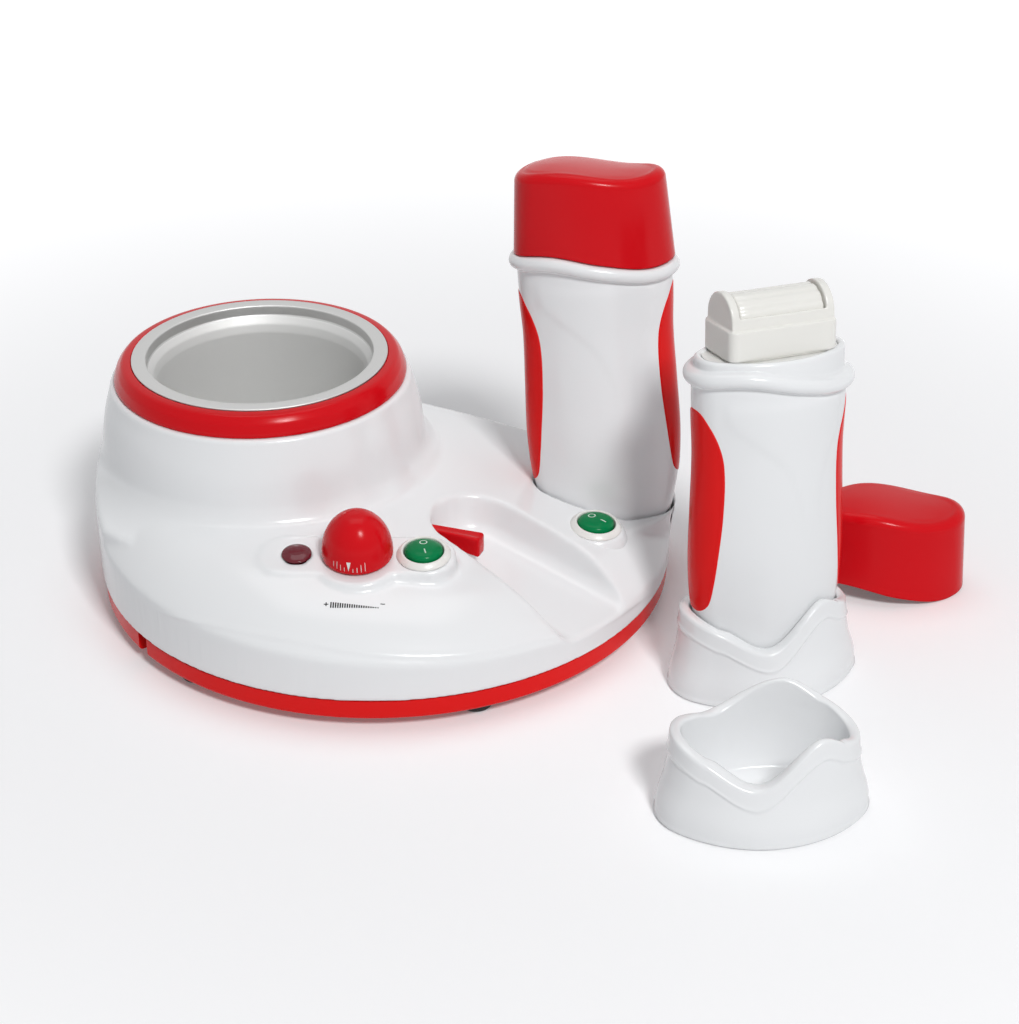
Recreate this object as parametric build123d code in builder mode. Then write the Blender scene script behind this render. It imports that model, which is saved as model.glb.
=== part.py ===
from build123d import *
from math import atan2, cos, degrees, radians, sin
import os

os.makedirs("parts", exist_ok=True)

# Wax warmer, millimetres, +Z up, standing on the table at z = 0.
# The origin is under the middle of everything that stands on the table.

# Base unit
base_x, base_y = -78.0, 69.7
base_radius = 150.0
parting_z = 16.0
pan_bottom = 5.5
wall = 3.0
base_plane = Plane((base_x, base_y, 0))

# Tower with the wax well, left of the middle of the base
tower_radius = 83.8
tower_bearing = 165.0
tower_dx = (base_radius - tower_radius) * cos(radians(tower_bearing))
tower_dy = (base_radius - tower_radius) * sin(radians(tower_bearing))
tower_top = 108.5
tower_plane = Plane((base_x + tower_dx, base_y + tower_dy, 0))
tower_axis = Axis(tower_plane.origin, (0, 0, 1))
tower_side = Plane(tower_plane.origin, x_dir=(1, 0, 0), z_dir=(0, -1, 0))

# Rounded corner of the base that carries the docking bay, right rear
bay_corner_radius = 38.0
bay_bearing = 2.0
bay_dx = (base_radius - bay_corner_radius) * cos(radians(bay_bearing))
bay_dy = (base_radius - bay_corner_radius) * sin(radians(bay_bearing))
bay_rim = 43.5
bay_flare = 3.5

# Flat rear wall: it touches the tower arc and the bay arc
between = Vector(bay_dx - tower_dx, bay_dy - tower_dy)
reach = (tower_radius - bay_corner_radius) / between.length
rear_bearing = degrees(atan2(between.Y, between.X)) + 90 - degrees(atan2(reach, (1 - reach**2) ** 0.5))

# Deck: a shallow dome that falls towards the right
crown_tilt = 5.5
crown_up = (sin(radians(crown_tilt)), 0, cos(radians(crown_tilt)))
crown_side = Plane(
    base_plane.origin,
    x_dir=(cos(radians(crown_tilt)), 0, -sin(radians(crown_tilt))),
    z_dir=(0, -1, 0),
)

# Control pad, tilted towards the user
pad_tilt = 8.0
pad_dx, pad_dy, pad_z = -8.5, -94.0, 64.5
pad_length, pad_width = 96.0, 30.0
pad_plane = Plane(
    (base_x + pad_dx, base_y + pad_dy, pad_z),
    x_dir=(1, 0, 0),
    z_dir=(0, -sin(radians(pad_tilt)), cos(radians(pad_tilt))),
)
lamp_u = -29.5
switch_u = 32.0

# Trough for the spatula, running out through the front right skirt
trough_bearing = -41.5
trough_fall = 8.0
trough_dx, trough_dy, trough_z = 47.0, -48.0, 39.5
trough_half = 17.0
trough_draft = 20.0
trough_plane = Plane(
    (base_x + trough_dx, base_y + trough_dy, trough_z),
    x_dir=(
        cos(radians(trough_bearing)) * cos(radians(trough_fall)),
        sin(radians(trough_bearing)) * cos(radians(trough_fall)),
        -sin(radians(trough_fall)),
    ),
    z_dir=(
        cos(radians(trough_bearing)) * sin(radians(trough_fall)),
        sin(radians(trough_bearing)) * sin(radians(trough_fall)),
        cos(radians(trough_fall)),
    ),
)

# Second switch, on the strip between the trough and the docking bay
switch_2_dx, switch_2_dy, switch_2_z = 109.0, -40.8, 49.4
switch_2_turn = -47.0
switch_2_tilt = 7.0

# Round rocker switches
flange_r = 12.4
housing_r = 11.0
opening_r = 9.9
rocker_r = 9.6
rocker_pivot = -2.5
rocker_travel = 12.0
trunnion_r = 1.3
trunnion_reach = 10.4

# Knob
knob_r = 17.5
knob_h = 24.5
shaft_r = 3.0

# Well
well_r = 54.0
well_floor = 25.5
mouth_r = 58.7
well_flange_r = 66.0
well_top = 120.0

# Handpieces, in their own frame with the lower end at z = 0
grip_w, grip_d = 78.0, 47.0
collar_z = 149.0
wave = 4.8
lip_z = 161.0
lip_w, lip_d = 75.0, 46.5
cap_top = 196.5
cavity_w, cavity_d = 68.0, 38.5
head_w, head_d = 55.5, 30.5
roller_z = 178.0
roller_r = 11.6

# Where the loose things stand
# The docked handpiece leans back and a little to the left in its pocket
dock_lean, dock_back = 4.0, 6.0
dock_plane = Plane(
    (base_x + 117.9, base_y - 4.0, 25.7),
    x_dir=(cos(radians(dock_lean)), 0, sin(radians(dock_lean))),
    z_dir=(
        -sin(radians(dock_lean)) * cos(radians(dock_back)),
        sin(radians(dock_back)),
        cos(radians(dock_lean)) * cos(radians(dock_back)),
    ),
)
dock_gap = 0.9
stand_turn = 21.0
stand_plane = Plane(
    (base_x + 190.4, base_y - 97.6, 0),
    x_dir=(cos(radians(stand_turn)), sin(radians(stand_turn)), 0),
)
stand_floor = 7.0
cup_back, cup_lean = 7.2, -1.3
spare_turn = 8.0
spare_plane = Plane(
    (base_x + 179.0, base_y - 206.5, 0),
    x_dir=(cos(radians(spare_turn)), sin(radians(spare_turn)), 0),
)
loose_cap_plane = Plane((base_x + 265.0, base_y - 14.5, 0))


def keep(piece, name):
    """Label a finished piece and write it."""
    piece.label = name
    export_step(piece, f"parts/{name}.step")


def outline(height, inset):
    """Plan of the base unit: round in front, drawn in behind between tower and bay."""
    rear = rear_bearing
    with BuildSketch(base_plane.offset(height)) as plan:
        with BuildLine():
            CenterArc((0, 0), base_radius - inset, tower_bearing, 360 - tower_bearing + bay_bearing)
            right = CenterArc(
                (bay_dx, bay_dy), bay_corner_radius - inset, bay_bearing, rear - bay_bearing
            )
            left = CenterArc((tower_dx, tower_dy), tower_radius - inset, rear, tower_bearing - rear)
            Line(right @ 1, left @ 0)
        make_face()
    return plan.sketch


def oval(plane, width, depth, corner):
    """Flattened oval: broad shallow arcs front and rear, tight arcs at the sides."""
    side = width / 2 - corner
    half = depth / 2
    broad = (side**2 + half**2 - corner**2) / (2 * (half - corner))
    turn = degrees(atan2(broad - half, side))
    with BuildSketch(plane) as section:
        with BuildLine():
            CenterArc((side, 0), corner, -turn, 2 * turn)
            CenterArc((0, half - broad), broad, turn, 180 - 2 * turn)
            CenterArc((-side, 0), corner, 180 - turn, 2 * turn)
            CenterArc((0, broad - half), broad, 180 + turn, 180 - 2 * turn)
        make_face()
    return section.sketch


def trough_form(extra):
    """The trough as a solid, grown by a wall thickness where it is wanted for the inside."""
    with BuildPart() as form:
        with BuildSketch(trough_plane.offset(-extra)):
            with BuildLine():
                end = CenterArc((0, 0), trough_half + extra, 95, 170)
                far = 100.0
                upper = Line(end @ 0, (far, trough_half + extra + 7))
                lower = Line(end @ 1, (far, -trough_half - extra - 7))
                Line(upper @ 1, lower @ 1)
            make_face()
        extrude(amount=46, taper=-trough_draft)
        floor_edges = form.faces().sort_by(Axis(trough_plane.origin, trough_plane.z_dir))[0].edges()
        rim = floor_edges.sort_by(Axis(trough_plane.origin, trough_plane.x_dir))[:-1]
        fillet(rim, radius=9)
    return form.part


def housing_form(inset):
    """Outside of the housing for inset 0, or its inner face for an inset of one wall."""
    with BuildPart() as form:
        with BuildSketch(crown_side):
            with BuildLine():
                top = Spline(
                    (0, 64.5 - inset),
                    (60, 63.3 - inset),
                    (100, 60 - inset),
                    (122, 55.5 - inset),
                    (139, 47 - inset),
                    (149, 38 - inset),
                    (162, 20 - inset),
                    tangents=[(1, 0), (1, -1.6)],
                )
                Polyline(top @ 1, (162, -30), (0, -30), top @ 0)
            make_face()
        revolve(axis=Axis(base_plane.origin, crown_up))
        with BuildSketch(tower_side):
            with BuildLine():
                foot = Spline(
                    (84.3 - inset, 76),
                    (88.5 - inset, 66),
                    (104 - inset, 55 - inset),
                    tangents=[(0.1, -1), (1, -0.35)],
                )
                waist = Spline(
                    (77.6 - inset, tower_top - inset),
                    (80.2 - inset, 98),
                    (84.3 - inset, 76),
                    tangents=[(0.1, -1), (0.1, -1)],
                )
                Polyline(waist @ 0, (0, tower_top - inset), (0, 0), (104 - inset, 0), foot @ 1)
            make_face()
        revolve(axis=tower_axis)
        with BuildSketch(pad_plane.offset(-inset)):
            SlotOverall(pad_length - 2 * inset, pad_width - 2 * inset)
            with Locations((0, -2)):
                Circle(22 - inset)
        extrude(amount=-14)
        with BuildSketch(base_plane.offset(0)):
            with Locations((bay_dx, bay_dy)):
                Circle(bay_corner_radius - inset)
        extrude(amount=bay_rim - inset)
        low = parting_z if inset == 0 else parting_z - 1
        extrude(outline(low, inset), amount=110, mode=Mode.INTERSECT)
        with BuildPart(mode=Mode.PRIVATE) as flare:
            for height, radius in ((low, bay_corner_radius), (bay_rim - inset, bay_corner_radius + bay_flare)):
                with BuildSketch(base_plane.offset(height)):
                    with Locations((bay_dx, bay_dy)):
                        Circle(radius - inset)
            loft()
        add(flare.part)
    return form.part


# Outer form of the handpieces: height, and share of the full width and depth there
sections = (
    (0, 0.76, 0.72),
    (5, 0.81, 0.79),
    (14, 0.865, 0.86),
    (22, 0.91, 0.91),
    (30, 0.955, 0.95),
    (42, 0.995, 0.985),
    (60, 1.015, 1.0),
    (86, 0.995, 0.985),
    (112, 0.975, 0.975),
    (132, 0.995, 1.0),
    (collar_z + 6, 1.0, 1.03),
)


def grip_form(grow):
    """Waisted form of a handpiece up to its collar, grown or shrunk on every side."""
    with BuildPart() as form:
        for height, across, deep in sections:
            add(oval(Plane.XY.offset(height), grip_w * across + 2 * grow, grip_d * deep + 2 * grow, 15.5 + grow))
        loft()
    return form.part


# Fixing points: bosses of the shell stand over the screws of the pan
boss_r = 5.0
boss_ring = 138.0
boss_points = [
    (boss_ring * cos(radians(bearing)), boss_ring * sin(radians(bearing)))
    for bearing in (-172, -118, -28)
]
boss_points += [(-100.0, 86.0), (5.0, 64.0)]
boss_bottom = 8.4

switch_2_plane = Plane(
    (base_x + switch_2_dx, base_y + switch_2_dy, switch_2_z),
    x_dir=(-sin(radians(switch_2_turn)), cos(radians(switch_2_turn)), 0),
    z_dir=(
        sin(radians(switch_2_tilt)) * cos(radians(switch_2_turn)),
        sin(radians(switch_2_tilt)) * sin(radians(switch_2_turn)),
        cos(radians(switch_2_tilt)),
    ),
)
rear_out = Vector(cos(radians(rear_bearing)), sin(radians(rear_bearing)), 0)
rear_along = Vector(-rear_out.Y, rear_out.X, 0)
inlet_along = 80.0
inlet_plane = Plane(
    Vector(base_x + bay_dx, base_y + bay_dy, 30.0) + rear_out * bay_corner_radius + rear_along * inlet_along,
    x_dir=rear_along * -1,
    z_dir=rear_out,
)
inlet_w, inlet_h = 27.0, 19.0
block_w, block_d = 34.0, 16.0
tongue_turn = -21.0
tongue_pin = (24.0, -54.5)
tongue_z = 53.5
tongue_low, tongue_high = -10.0, 20.0
tongue_plane = Plane(
    (base_x + tongue_pin[0], base_y + tongue_pin[1], tongue_z),
    x_dir=(cos(radians(tongue_turn)), sin(radians(tongue_turn)), 0),
)
well_hole = 62.5

# Inside of the shell, drawn in round the trough, the docking pocket and the bosses
with BuildPart() as cavity:
    add(housing_form(wall))
    add(trough_form(wall), mode=Mode.SUBTRACT)
    add(dock_plane.offset(-0.3 - wall).location * grip_form(dock_gap + wall), mode=Mode.SUBTRACT)
    with BuildSketch(base_plane):
        with Locations(*boss_points):
            Circle(boss_r)
    extrude(amount=90, mode=Mode.SUBTRACT)
    with BuildSketch(tongue_plane.offset(-9.5)):
        Circle(9.5)
    extrude(amount=30, mode=Mode.SUBTRACT)

# Shell: tower, deck, control pad, trough and docking bay in one white moulding
with BuildPart() as upper_shell:
    add(housing_form(0))
    with BuildSketch(base_plane.offset(boss_bottom)):
        with Locations(*boss_points):
            Circle(boss_r)
    extrude(amount=parting_z)
    add(cavity.part, mode=Mode.SUBTRACT)
    add(trough_form(0), mode=Mode.SUBTRACT)
    add(dock_plane.offset(-0.3).location * grip_form(dock_gap), mode=Mode.SUBTRACT)
    with BuildSketch(dock_plane.offset(-6)):
        RectangleRounded(block_w, block_d, 2)
    extrude(amount=7, mode=Mode.SUBTRACT)
    with BuildSketch(tongue_plane.offset(-5.2)):
        Circle(6.0)
        Polygon(
            (0, -5.2),
            (20 * cos(radians(tongue_low)), 20 * sin(radians(tongue_low)) - 4.6),
            (20 * cos(radians(tongue_high)), 20 * sin(radians(tongue_high)) + 4.6),
            (0, 5.2),
            align=None,
        )
    extrude(amount=8.4, mode=Mode.SUBTRACT)
    with BuildSketch(tongue_plane.offset(-8.2)):
        Circle(1.4)
    extrude(amount=13.2, mode=Mode.SUBTRACT)
    with BuildSketch(base_plane.offset(boss_bottom)):
        with Locations(*boss_points):
            Circle(1.5)
    extrude(amount=12, mode=Mode.SUBTRACT)
    with BuildSketch(tower_plane.offset(tower_top - 8)):
        Circle(well_hole)
    extrude(amount=12, mode=Mode.SUBTRACT)
    with BuildSketch(pad_plane.offset(-8)):
        with Locations((lamp_u, 0)):
            Circle(6.4)
        Circle(shaft_r + 1.2)
        with Locations((switch_u, 0)):
            Circle(housing_r + 0.2)
    extrude(amount=16, mode=Mode.SUBTRACT)
    with BuildSketch(switch_2_plane.offset(-14)):
        Circle(housing_r + 0.2)
    extrude(amount=30, mode=Mode.SUBTRACT)
    with BuildSketch(switch_2_plane):
        Circle(flange_r + 1.0)
    extrude(amount=20, mode=Mode.SUBTRACT)
    with BuildSketch(inlet_plane.offset(-8)):
        RectangleRounded(inlet_w + 0.6, inlet_h + 0.6, 3)
    extrude(amount=16, mode=Mode.SUBTRACT)
keep(upper_shell.part, "upper_shell")

# Pan: red tray under the shell, with a spigot wall inside the skirt and a finger notch
pan_floor = 2.5
with BuildPart() as bottom_pan:
    extrude(outline(pan_bottom, 1.0), amount=parting_z - pan_bottom)
    fillet(bottom_pan.edges().group_by(Axis.Z)[0], radius=2.2)
    extrude(outline(pan_bottom, wall + 0.4), amount=parting_z - pan_bottom + 4)
    extrude(outline(pan_bottom + pan_floor, wall + 2.2), amount=30, mode=Mode.SUBTRACT)
    with BuildSketch(base_plane.offset(pan_bottom)):
        with Locations(*boss_points):
            Circle(2.0)
        with PolarLocations(base_radius - 2, 1, start_angle=-142):
            Rectangle(14, 8)
        with Locations((tower_dx, tower_dy)):
            with GridLocations(0, 9, 1, 7):
                SlotOverall(60, 3)
    extrude(amount=40, mode=Mode.SUBTRACT)
keep(bottom_pan.part, "bottom_pan")

with BuildPart() as pan_screws:
    with BuildSketch(base_plane.offset(pan_bottom - 2.2)):
        with Locations(*boss_points):
            Circle(3.6)
    extrude(amount=2.2)
    with BuildSketch(base_plane.offset(pan_bottom)):
        with Locations(*boss_points):
            Circle(1.4)
    extrude(amount=13)
keep(pan_screws.part, "pan_screws")

foot_ring = 136.0
foot_points = [
    (foot_ring * cos(radians(bearing)), foot_ring * sin(radians(bearing)))
    for bearing in (-131, -69, -8, 178)
]
foot_points += [(-62.0, 86.0), (96.0, 26.0)]
with BuildPart() as rubber_feet:
    with BuildSketch(base_plane):
        with Locations(*foot_points):
            Circle(8.0)
    extrude(amount=pan_bottom)
    fillet(rubber_feet.edges().group_by(Axis.Z)[0], radius=1.2)
keep(rubber_feet.part, "rubber_feet")

# Red ring that frames the mouth of the well
with BuildPart() as pot_ring:
    with BuildSketch(tower_side):
        with BuildLine():
            base_line = Line((64.0, tower_top), (75.6, tower_top))
            outer = Spline(
                base_line @ 1,
                (75.2, tower_top + 3.8),
                (72.4, tower_top + 8.8),
                (68.0, tower_top + 10.9),
                tangents=[(0, 1), (-1, 0.1)],
            )
            Polyline(
                outer @ 1,
                (well_flange_r + 0.3, tower_top + 10.9),
                (well_flange_r + 0.3, well_top - 1.5),
                (64.0, well_top - 1.5),
                base_line @ 0,
            )
        make_face()
    revolve(axis=tower_axis)
keep(pot_ring.part, "pot_ring")

# Well: spun aluminium pot, flat flange, step inside the mouth, straight bore for the tin
with BuildPart() as well:
    with BuildSketch(tower_side):
        with BuildLine():
            Polyline(
                (0, well_floor),
                (well_r - 12, well_floor),
            )
            corner = RadiusArc((well_r - 12, well_floor), (well_r, well_floor + 12), -12)
            Polyline(
                corner @ 1,
                (well_r, 109.5),
                (well_r + 2.2, 111.2),
                (well_r + 2.6, 112.6),
                (mouth_r - 0.9, 113.4),
                (mouth_r, well_top - 1.2),
                (mouth_r + 1.2, well_top),
                (well_flange_r, well_top),
                (well_flange_r, well_top - 1.4),
                (mouth_r + 1.4, well_top - 1.4),
                (mouth_r + 1.2, 112.0),
                (well_r + 1.5, 108.0),
                (well_r + 1.5, well_floor + 12),
            )
            under = RadiusArc((well_r + 1.5, well_floor + 12), (well_r - 12, well_floor - 1.5), 13.5)
            Polyline(under @ 1, (0, well_floor - 1.5), (0, well_floor))
        make_face()
    revolve(axis=tower_axis)
keep(well.part, "well")

with BuildPart() as heater_band:
    with BuildSketch(tower_plane.offset(42)):
        Circle(well_r + 3.2)
        Circle(well_r + 1.7, mode=Mode.SUBTRACT)
        with Locations((well_r + 2, 0)):
            Rectangle(8, 3, mode=Mode.SUBTRACT)
    extrude(amount=40)
    with BuildSketch(tower_plane.offset(50)):
        with GridLocations(0, 5.4, 1, 2):
            with Locations((well_r + 4.9, 0)):
                Rectangle(5.0, 1.6)
    extrude(amount=24)
keep(heater_band.part, "heater_band")

with BuildPart() as insulation:
    with BuildSketch(tower_plane.offset(38)):
        Circle(well_r + 8.0)
        Circle(well_r + 3.6, mode=Mode.SUBTRACT)
        with Locations((well_r + 5, 0)):
            Rectangle(14, 9, mode=Mode.SUBTRACT)
    extrude(amount=48)
keep(insulation.part, "insulation")

# Steel spider that carries the well on the floor of the pan
with BuildPart() as pot_bracket:
    with BuildSketch(tower_plane.offset(well_floor - 3.0)):
        Circle(34)
        Circle(14, mode=Mode.SUBTRACT)
    extrude(amount=1.5)
    with BuildSketch(tower_plane.offset(well_floor - 3.0)):
        with PolarLocations(38, 3, start_angle=30):
            Rectangle(16, 10)
    extrude(amount=1.5)
    with BuildSketch(tower_plane.offset(pan_bottom + pan_floor)):
        with PolarLocations(45.2, 3, start_angle=30):
            Rectangle(1.5, 10)
    extrude(amount=well_floor - 1.5 - pan_bottom - pan_floor)
    with BuildSketch(tower_plane.offset(pan_bottom + pan_floor)):
        with PolarLocations(49, 3, start_angle=30):
            Rectangle(8, 10)
    extrude(amount=1.5)
keep(pot_bracket.part, "pot_bracket")

with BuildPart() as thermal_cutout:
    with BuildSketch(tower_plane.offset(well_floor - 10.5)):
        Circle(8)
    extrude(amount=7.0)
    with BuildSketch(tower_plane.offset(well_floor - 3.5)):
        Circle(11)
    extrude(amount=2.0)
    with BuildSketch(tower_plane.offset(well_floor - 14.5)):
        with GridLocations(8, 0, 2, 1):
            Rectangle(0.8, 5)
    extrude(amount=4.0)
keep(thermal_cutout.part, "thermal_cutout")

# Knob: bullet-shaped dome over a short skirt, bored for the thermostat shaft
pad_side = Plane(pad_plane.origin, x_dir=(1, 0, 0), z_dir=pad_plane.y_dir * -1)
pad_axis = Axis(pad_plane.origin, pad_plane.z_dir)
with BuildPart() as knob:
    with BuildSketch(pad_side):
        with BuildLine():
            floor_line = Line((shaft_r + 0.1, 0.7), (knob_r - 0.6, 0.7))
            rim = Line(floor_line @ 1, (knob_r, 1.6))
            dome = Spline(
                rim @ 1,
                (knob_r - 0.5, 7.5),
                (14.2, 15.6),
                (8.6, 21.8),
                (0, knob_h),
                tangents=[(0, 1), (-1, 0)],
            )
            Polyline(dome @ 1, (0, 15.0), (shaft_r + 0.1, 15.0), floor_line @ 0)
        make_face()
    revolve(axis=pad_axis)
keep(knob.part, "knob")

with BuildPart() as thermostat_shaft:
    with BuildSketch(pad_plane.offset(-14)):
        Circle(shaft_r)
    extrude(amount=28.8)
keep(thermostat_shaft.part, "thermostat_shaft")

with BuildPart() as thermostat_body:
    with BuildSketch(pad_plane.offset(-wall - 0.3)):
        Rectangle(24, 24)
    extrude(amount=-20)
    fillet(thermostat_body.edges().filter_by(Axis(pad_plane.origin, pad_plane.z_dir)), radius=3)
    with BuildSketch(pad_plane.offset(-15)):
        Circle(shaft_r + 0.4)
    extrude(amount=20, mode=Mode.SUBTRACT)
    with BuildSketch(pad_plane.offset(-wall - 20.3)):
        with GridLocations(14, 0, 2, 1):
            Rectangle(6, 0.8)
    extrude(amount=-6)
keep(thermostat_body.part, "thermostat_body")

with BuildPart() as indicator_lens:
    with BuildSketch(Plane(pad_plane.origin + pad_plane.x_dir * lamp_u, x_dir=(1, 0, 0), z_dir=pad_plane.y_dir * -1)):
        with BuildLine():
            stem = Polyline((0, -6.0), (6.2, -6.0), (6.2, 0.05), (7.4, 0.05), (7.4, 0.7))
            cap_line = Spline(stem @ 1, (4.2, 1.9), (0, 2.4), tangents=[(-0.6, 1), (-1, 0)])
            Line(cap_line @ 1, stem @ 0)
        make_face()
    revolve(axis=Axis(pad_plane.origin + pad_plane.x_dir * lamp_u, pad_plane.z_dir))
    with BuildSketch(pad_plane.offset(-7)):
        with Locations((lamp_u, 0)):
            Circle(4.4)
    extrude(amount=7.4, mode=Mode.SUBTRACT)
keep(indicator_lens.part, "indicator_lens")

with BuildPart() as indicator_lamp:
    with BuildSketch(pad_plane.offset(-16)):
        with Locations((lamp_u, 0)):
            Circle(3.4)
    extrude(amount=16)
    fillet(indicator_lamp.edges().sort_by(Axis(pad_plane.origin, pad_plane.z_dir))[-1], radius=2.8)
keep(indicator_lamp.part, "indicator_lamp")


def round_switch(plane, tag):
    """A round rocker switch: cream bezel with its housing, and the domed green rocker."""
    hinge = plane.offset(rocker_pivot)
    across = Plane(hinge.origin, x_dir=plane.y_dir, z_dir=plane.x_dir)
    with BuildPart() as bezel:
        with BuildSketch(plane):
            Circle(flange_r)
        extrude(amount=1.8)
        fillet(bezel.edges().sort_by(Axis(plane.origin, plane.z_dir))[-1], radius=1.2)
        with BuildSketch(plane):
            Circle(housing_r)
        extrude(amount=-13)
        with BuildSketch(plane.offset(-12)):
            Circle(opening_r)
        extrude(amount=20, mode=Mode.SUBTRACT)
        with BuildSketch(plane.offset(-13)):
            with GridLocations(0, 7, 1, 2):
                Rectangle(5, 0.8)
        extrude(amount=-5)
        with BuildSketch(across):
            Circle(trunnion_r + 0.06)
        extrude(amount=trunnion_reach + 0.15, both=True, mode=Mode.SUBTRACT)
    keep(bezel.part, f"bezel_{tag}")
    pressed = Plane(
        hinge.origin,
        x_dir=plane.x_dir,
        z_dir=plane.z_dir * cos(radians(rocker_travel / 2)) + plane.y_dir * sin(radians(rocker_travel / 2)),
    )
    with BuildPart() as rocker:
        with BuildSketch(Plane(pressed.origin, x_dir=pressed.x_dir, z_dir=pressed.y_dir * -1)):
            with BuildLine():
                foot_line = Polyline((0, -5.0), (7.4, -5.0), (9.4, -1.6), (rocker_r - 0.1, 1.5), (8.4, 4.3))
                dome = Spline(foot_line @ 1, (4.6, 5.9), (0, 6.4), tangents=[(-1, 0.7), (-1, 0)])
                Line(dome @ 1, foot_line @ 0)
            make_face()
        revolve(axis=Axis(pressed.origin, pressed.z_dir))
        with BuildSketch(across):
            Circle(trunnion_r)
        extrude(amount=trunnion_reach, both=True)
    keep(rocker.part, f"rocker_{tag}")


switch_1_plane = Plane(
    pad_plane.origin + pad_plane.x_dir * switch_u + pad_plane.z_dir * 0.0,
    x_dir=pad_plane.x_dir,
    z_dir=pad_plane.z_dir,
)
round_switch(switch_1_plane, 1)
round_switch(switch_2_plane, 2)


# Tongue: red lever that stands in the trough, on a pin in the wall of the trough
with BuildPart() as tongue:
    with BuildSketch(Plane(tongue_plane.origin, x_dir=tongue_plane.x_dir, z_dir=tongue_plane.y_dir * -1)) as bar:
        Polygon((-5, -2.5), (10, -4.2), (29, -7.5), (29, 4.0), (10, 2.6), (-5, 2.0), align=None)
        fillet(bar.vertices().group_by(Axis.X)[-1], radius=1.5)
    extrude(amount=4.5, both=True)
    with BuildSketch(tongue_plane.offset(-12)) as plan:
        Polygon((-5, -2.2), (29, -4.2), (29, 4.2), (-5, 2.2), align=None)
        fillet(plan.vertices().group_by(Axis.X)[-1], radius=1.5)
    extrude(amount=24, mode=Mode.INTERSECT)
    with BuildSketch(tongue_plane.offset(-6)):
        Circle(1.45)
    extrude(amount=12, mode=Mode.SUBTRACT)
keep(tongue.part, "tongue")

with BuildPart() as tongue_pivot:
    with BuildSketch(tongue_plane.offset(-8)):
        Circle(1.38)
    extrude(amount=12.8)
keep(tongue_pivot.part, "tongue_pin")

# Docking contacts: black block set in the floor of the pocket, with sprung pins
with BuildPart() as contact_block:
    with BuildSketch(dock_plane.offset(-0.3)):
        RectangleRounded(block_w - 0.4, block_d - 0.4, 2)
    extrude(amount=-wall)
    with BuildSketch(dock_plane.offset(-0.3 - wall)):
        RectangleRounded(block_w + 6, block_d + 4, 2)
    extrude(amount=-5)
    with BuildSketch(dock_plane.offset(-12)):
        with GridLocations(20, 0, 2, 1):
            Circle(2.4)
    extrude(amount=14, mode=Mode.SUBTRACT)
keep(contact_block.part, "contact_block")

with BuildPart() as contact_pins:
    with BuildSketch(dock_plane.offset(-11)):
        with GridLocations(20, 0, 2, 1):
            Circle(2.3)
    extrude(amount=9.6)
    fillet(contact_pins.edges().group_by(Axis(dock_plane.origin, dock_plane.z_dir))[-1], radius=1.6)
keep(contact_pins.part, "contact_pins")

# Mains inlet in the rear wall, with its earth and line pins
with BuildPart() as power_inlet:
    with BuildSketch(inlet_plane):
        RectangleRounded(inlet_w + 5, inlet_h + 5, 3)
    extrude(amount=1.8)
    fillet(power_inlet.edges().group_by(Axis(inlet_plane.origin, inlet_plane.z_dir))[-1], radius=1.0)
    with BuildSketch(inlet_plane):
        RectangleRounded(inlet_w, inlet_h, 3)
    extrude(amount=-17)
    with BuildSketch(inlet_plane.offset(-15)):
        RectangleRounded(inlet_w - 4, inlet_h - 4, 2)
    extrude(amount=20, mode=Mode.SUBTRACT)
keep(power_inlet.part, "power_inlet")

with BuildPart() as inlet_pins:
    with BuildSketch(inlet_plane.offset(-15)):
        with Locations((-7, -2), (0, 2.5), (7, -2)):
            Rectangle(2, 5)
    extrude(amount=14)
keep(inlet_pins.part, "inlet_pins")

with BuildPart() as terminal_block:
    with BuildSketch(base_plane.offset(pan_bottom + pan_floor)):
        with Locations((42, 12)):
            Rectangle(34, 16)
    extrude(amount=13)
    fillet(terminal_block.edges().filter_by(Axis.Z), radius=1.5)
    with BuildSketch(base_plane.offset(pan_bottom + pan_floor + 5)):
        with Locations((42, 12)):
            with GridLocations(11, 0, 3, 1):
                Circle(2.6)
    extrude(amount=20, mode=Mode.SUBTRACT)
keep(terminal_block.part, "terminal_block")

# Handpieces. Their pieces are made once, standing at the origin, and placed twice.


wave_reach = 47.0


def wave_line(height):
    """Wavy line seen from the front: a crest on the left and a trough on the right."""
    return Spline(
        (-wave_reach, height + 0.4 * wave),
        (-22, height + wave),
        (3, height),
        (28, height - wave),
        (wave_reach, height - 0.5 * wave),
    )


def wave_band(low, high):
    """A wavy layer between two heights."""
    with BuildPart() as layer:
        with BuildSketch(Plane.XZ):
            with BuildLine():
                lower = wave_line(low)
                upper = wave_line(high)
                Line(lower @ 0, upper @ 0)
                Line(lower @ 1, upper @ 1)
            make_face()
        extrude(amount=40, both=True)
    return layer.part


# Parting line between the white shell and the black base: low in front, high at the sides
base_rise = 20.0
with BuildPart() as base_zone:
    with BuildSketch(Plane.XZ):
        with BuildLine():
            sag = ThreePointArc((-46, base_rise + 6), (0, 5.0), (46, base_rise + 6))
            Polyline(sag @ 1, (46, -10), (-46, -10), sag @ 0)
        make_face()
    extrude(amount=40, both=True)

# Leaf shape of the side inserts, drawn in side view
with BuildPart() as leaf_zone:
    with BuildSketch(Plane.YZ.offset(26)):
        with BuildLine():
            fore = Spline(
                (0, 137.4),
                (9.5, 131.5),
                (14.2, 116),
                (14.8, 94),
                (13.9, 64),
                (11.2, 42),
                (0, 33.2),
            )
            mirror(fore, about=Plane.YZ)
        make_face()
    extrude(amount=30)
    mirror(about=Plane.YZ)

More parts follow.
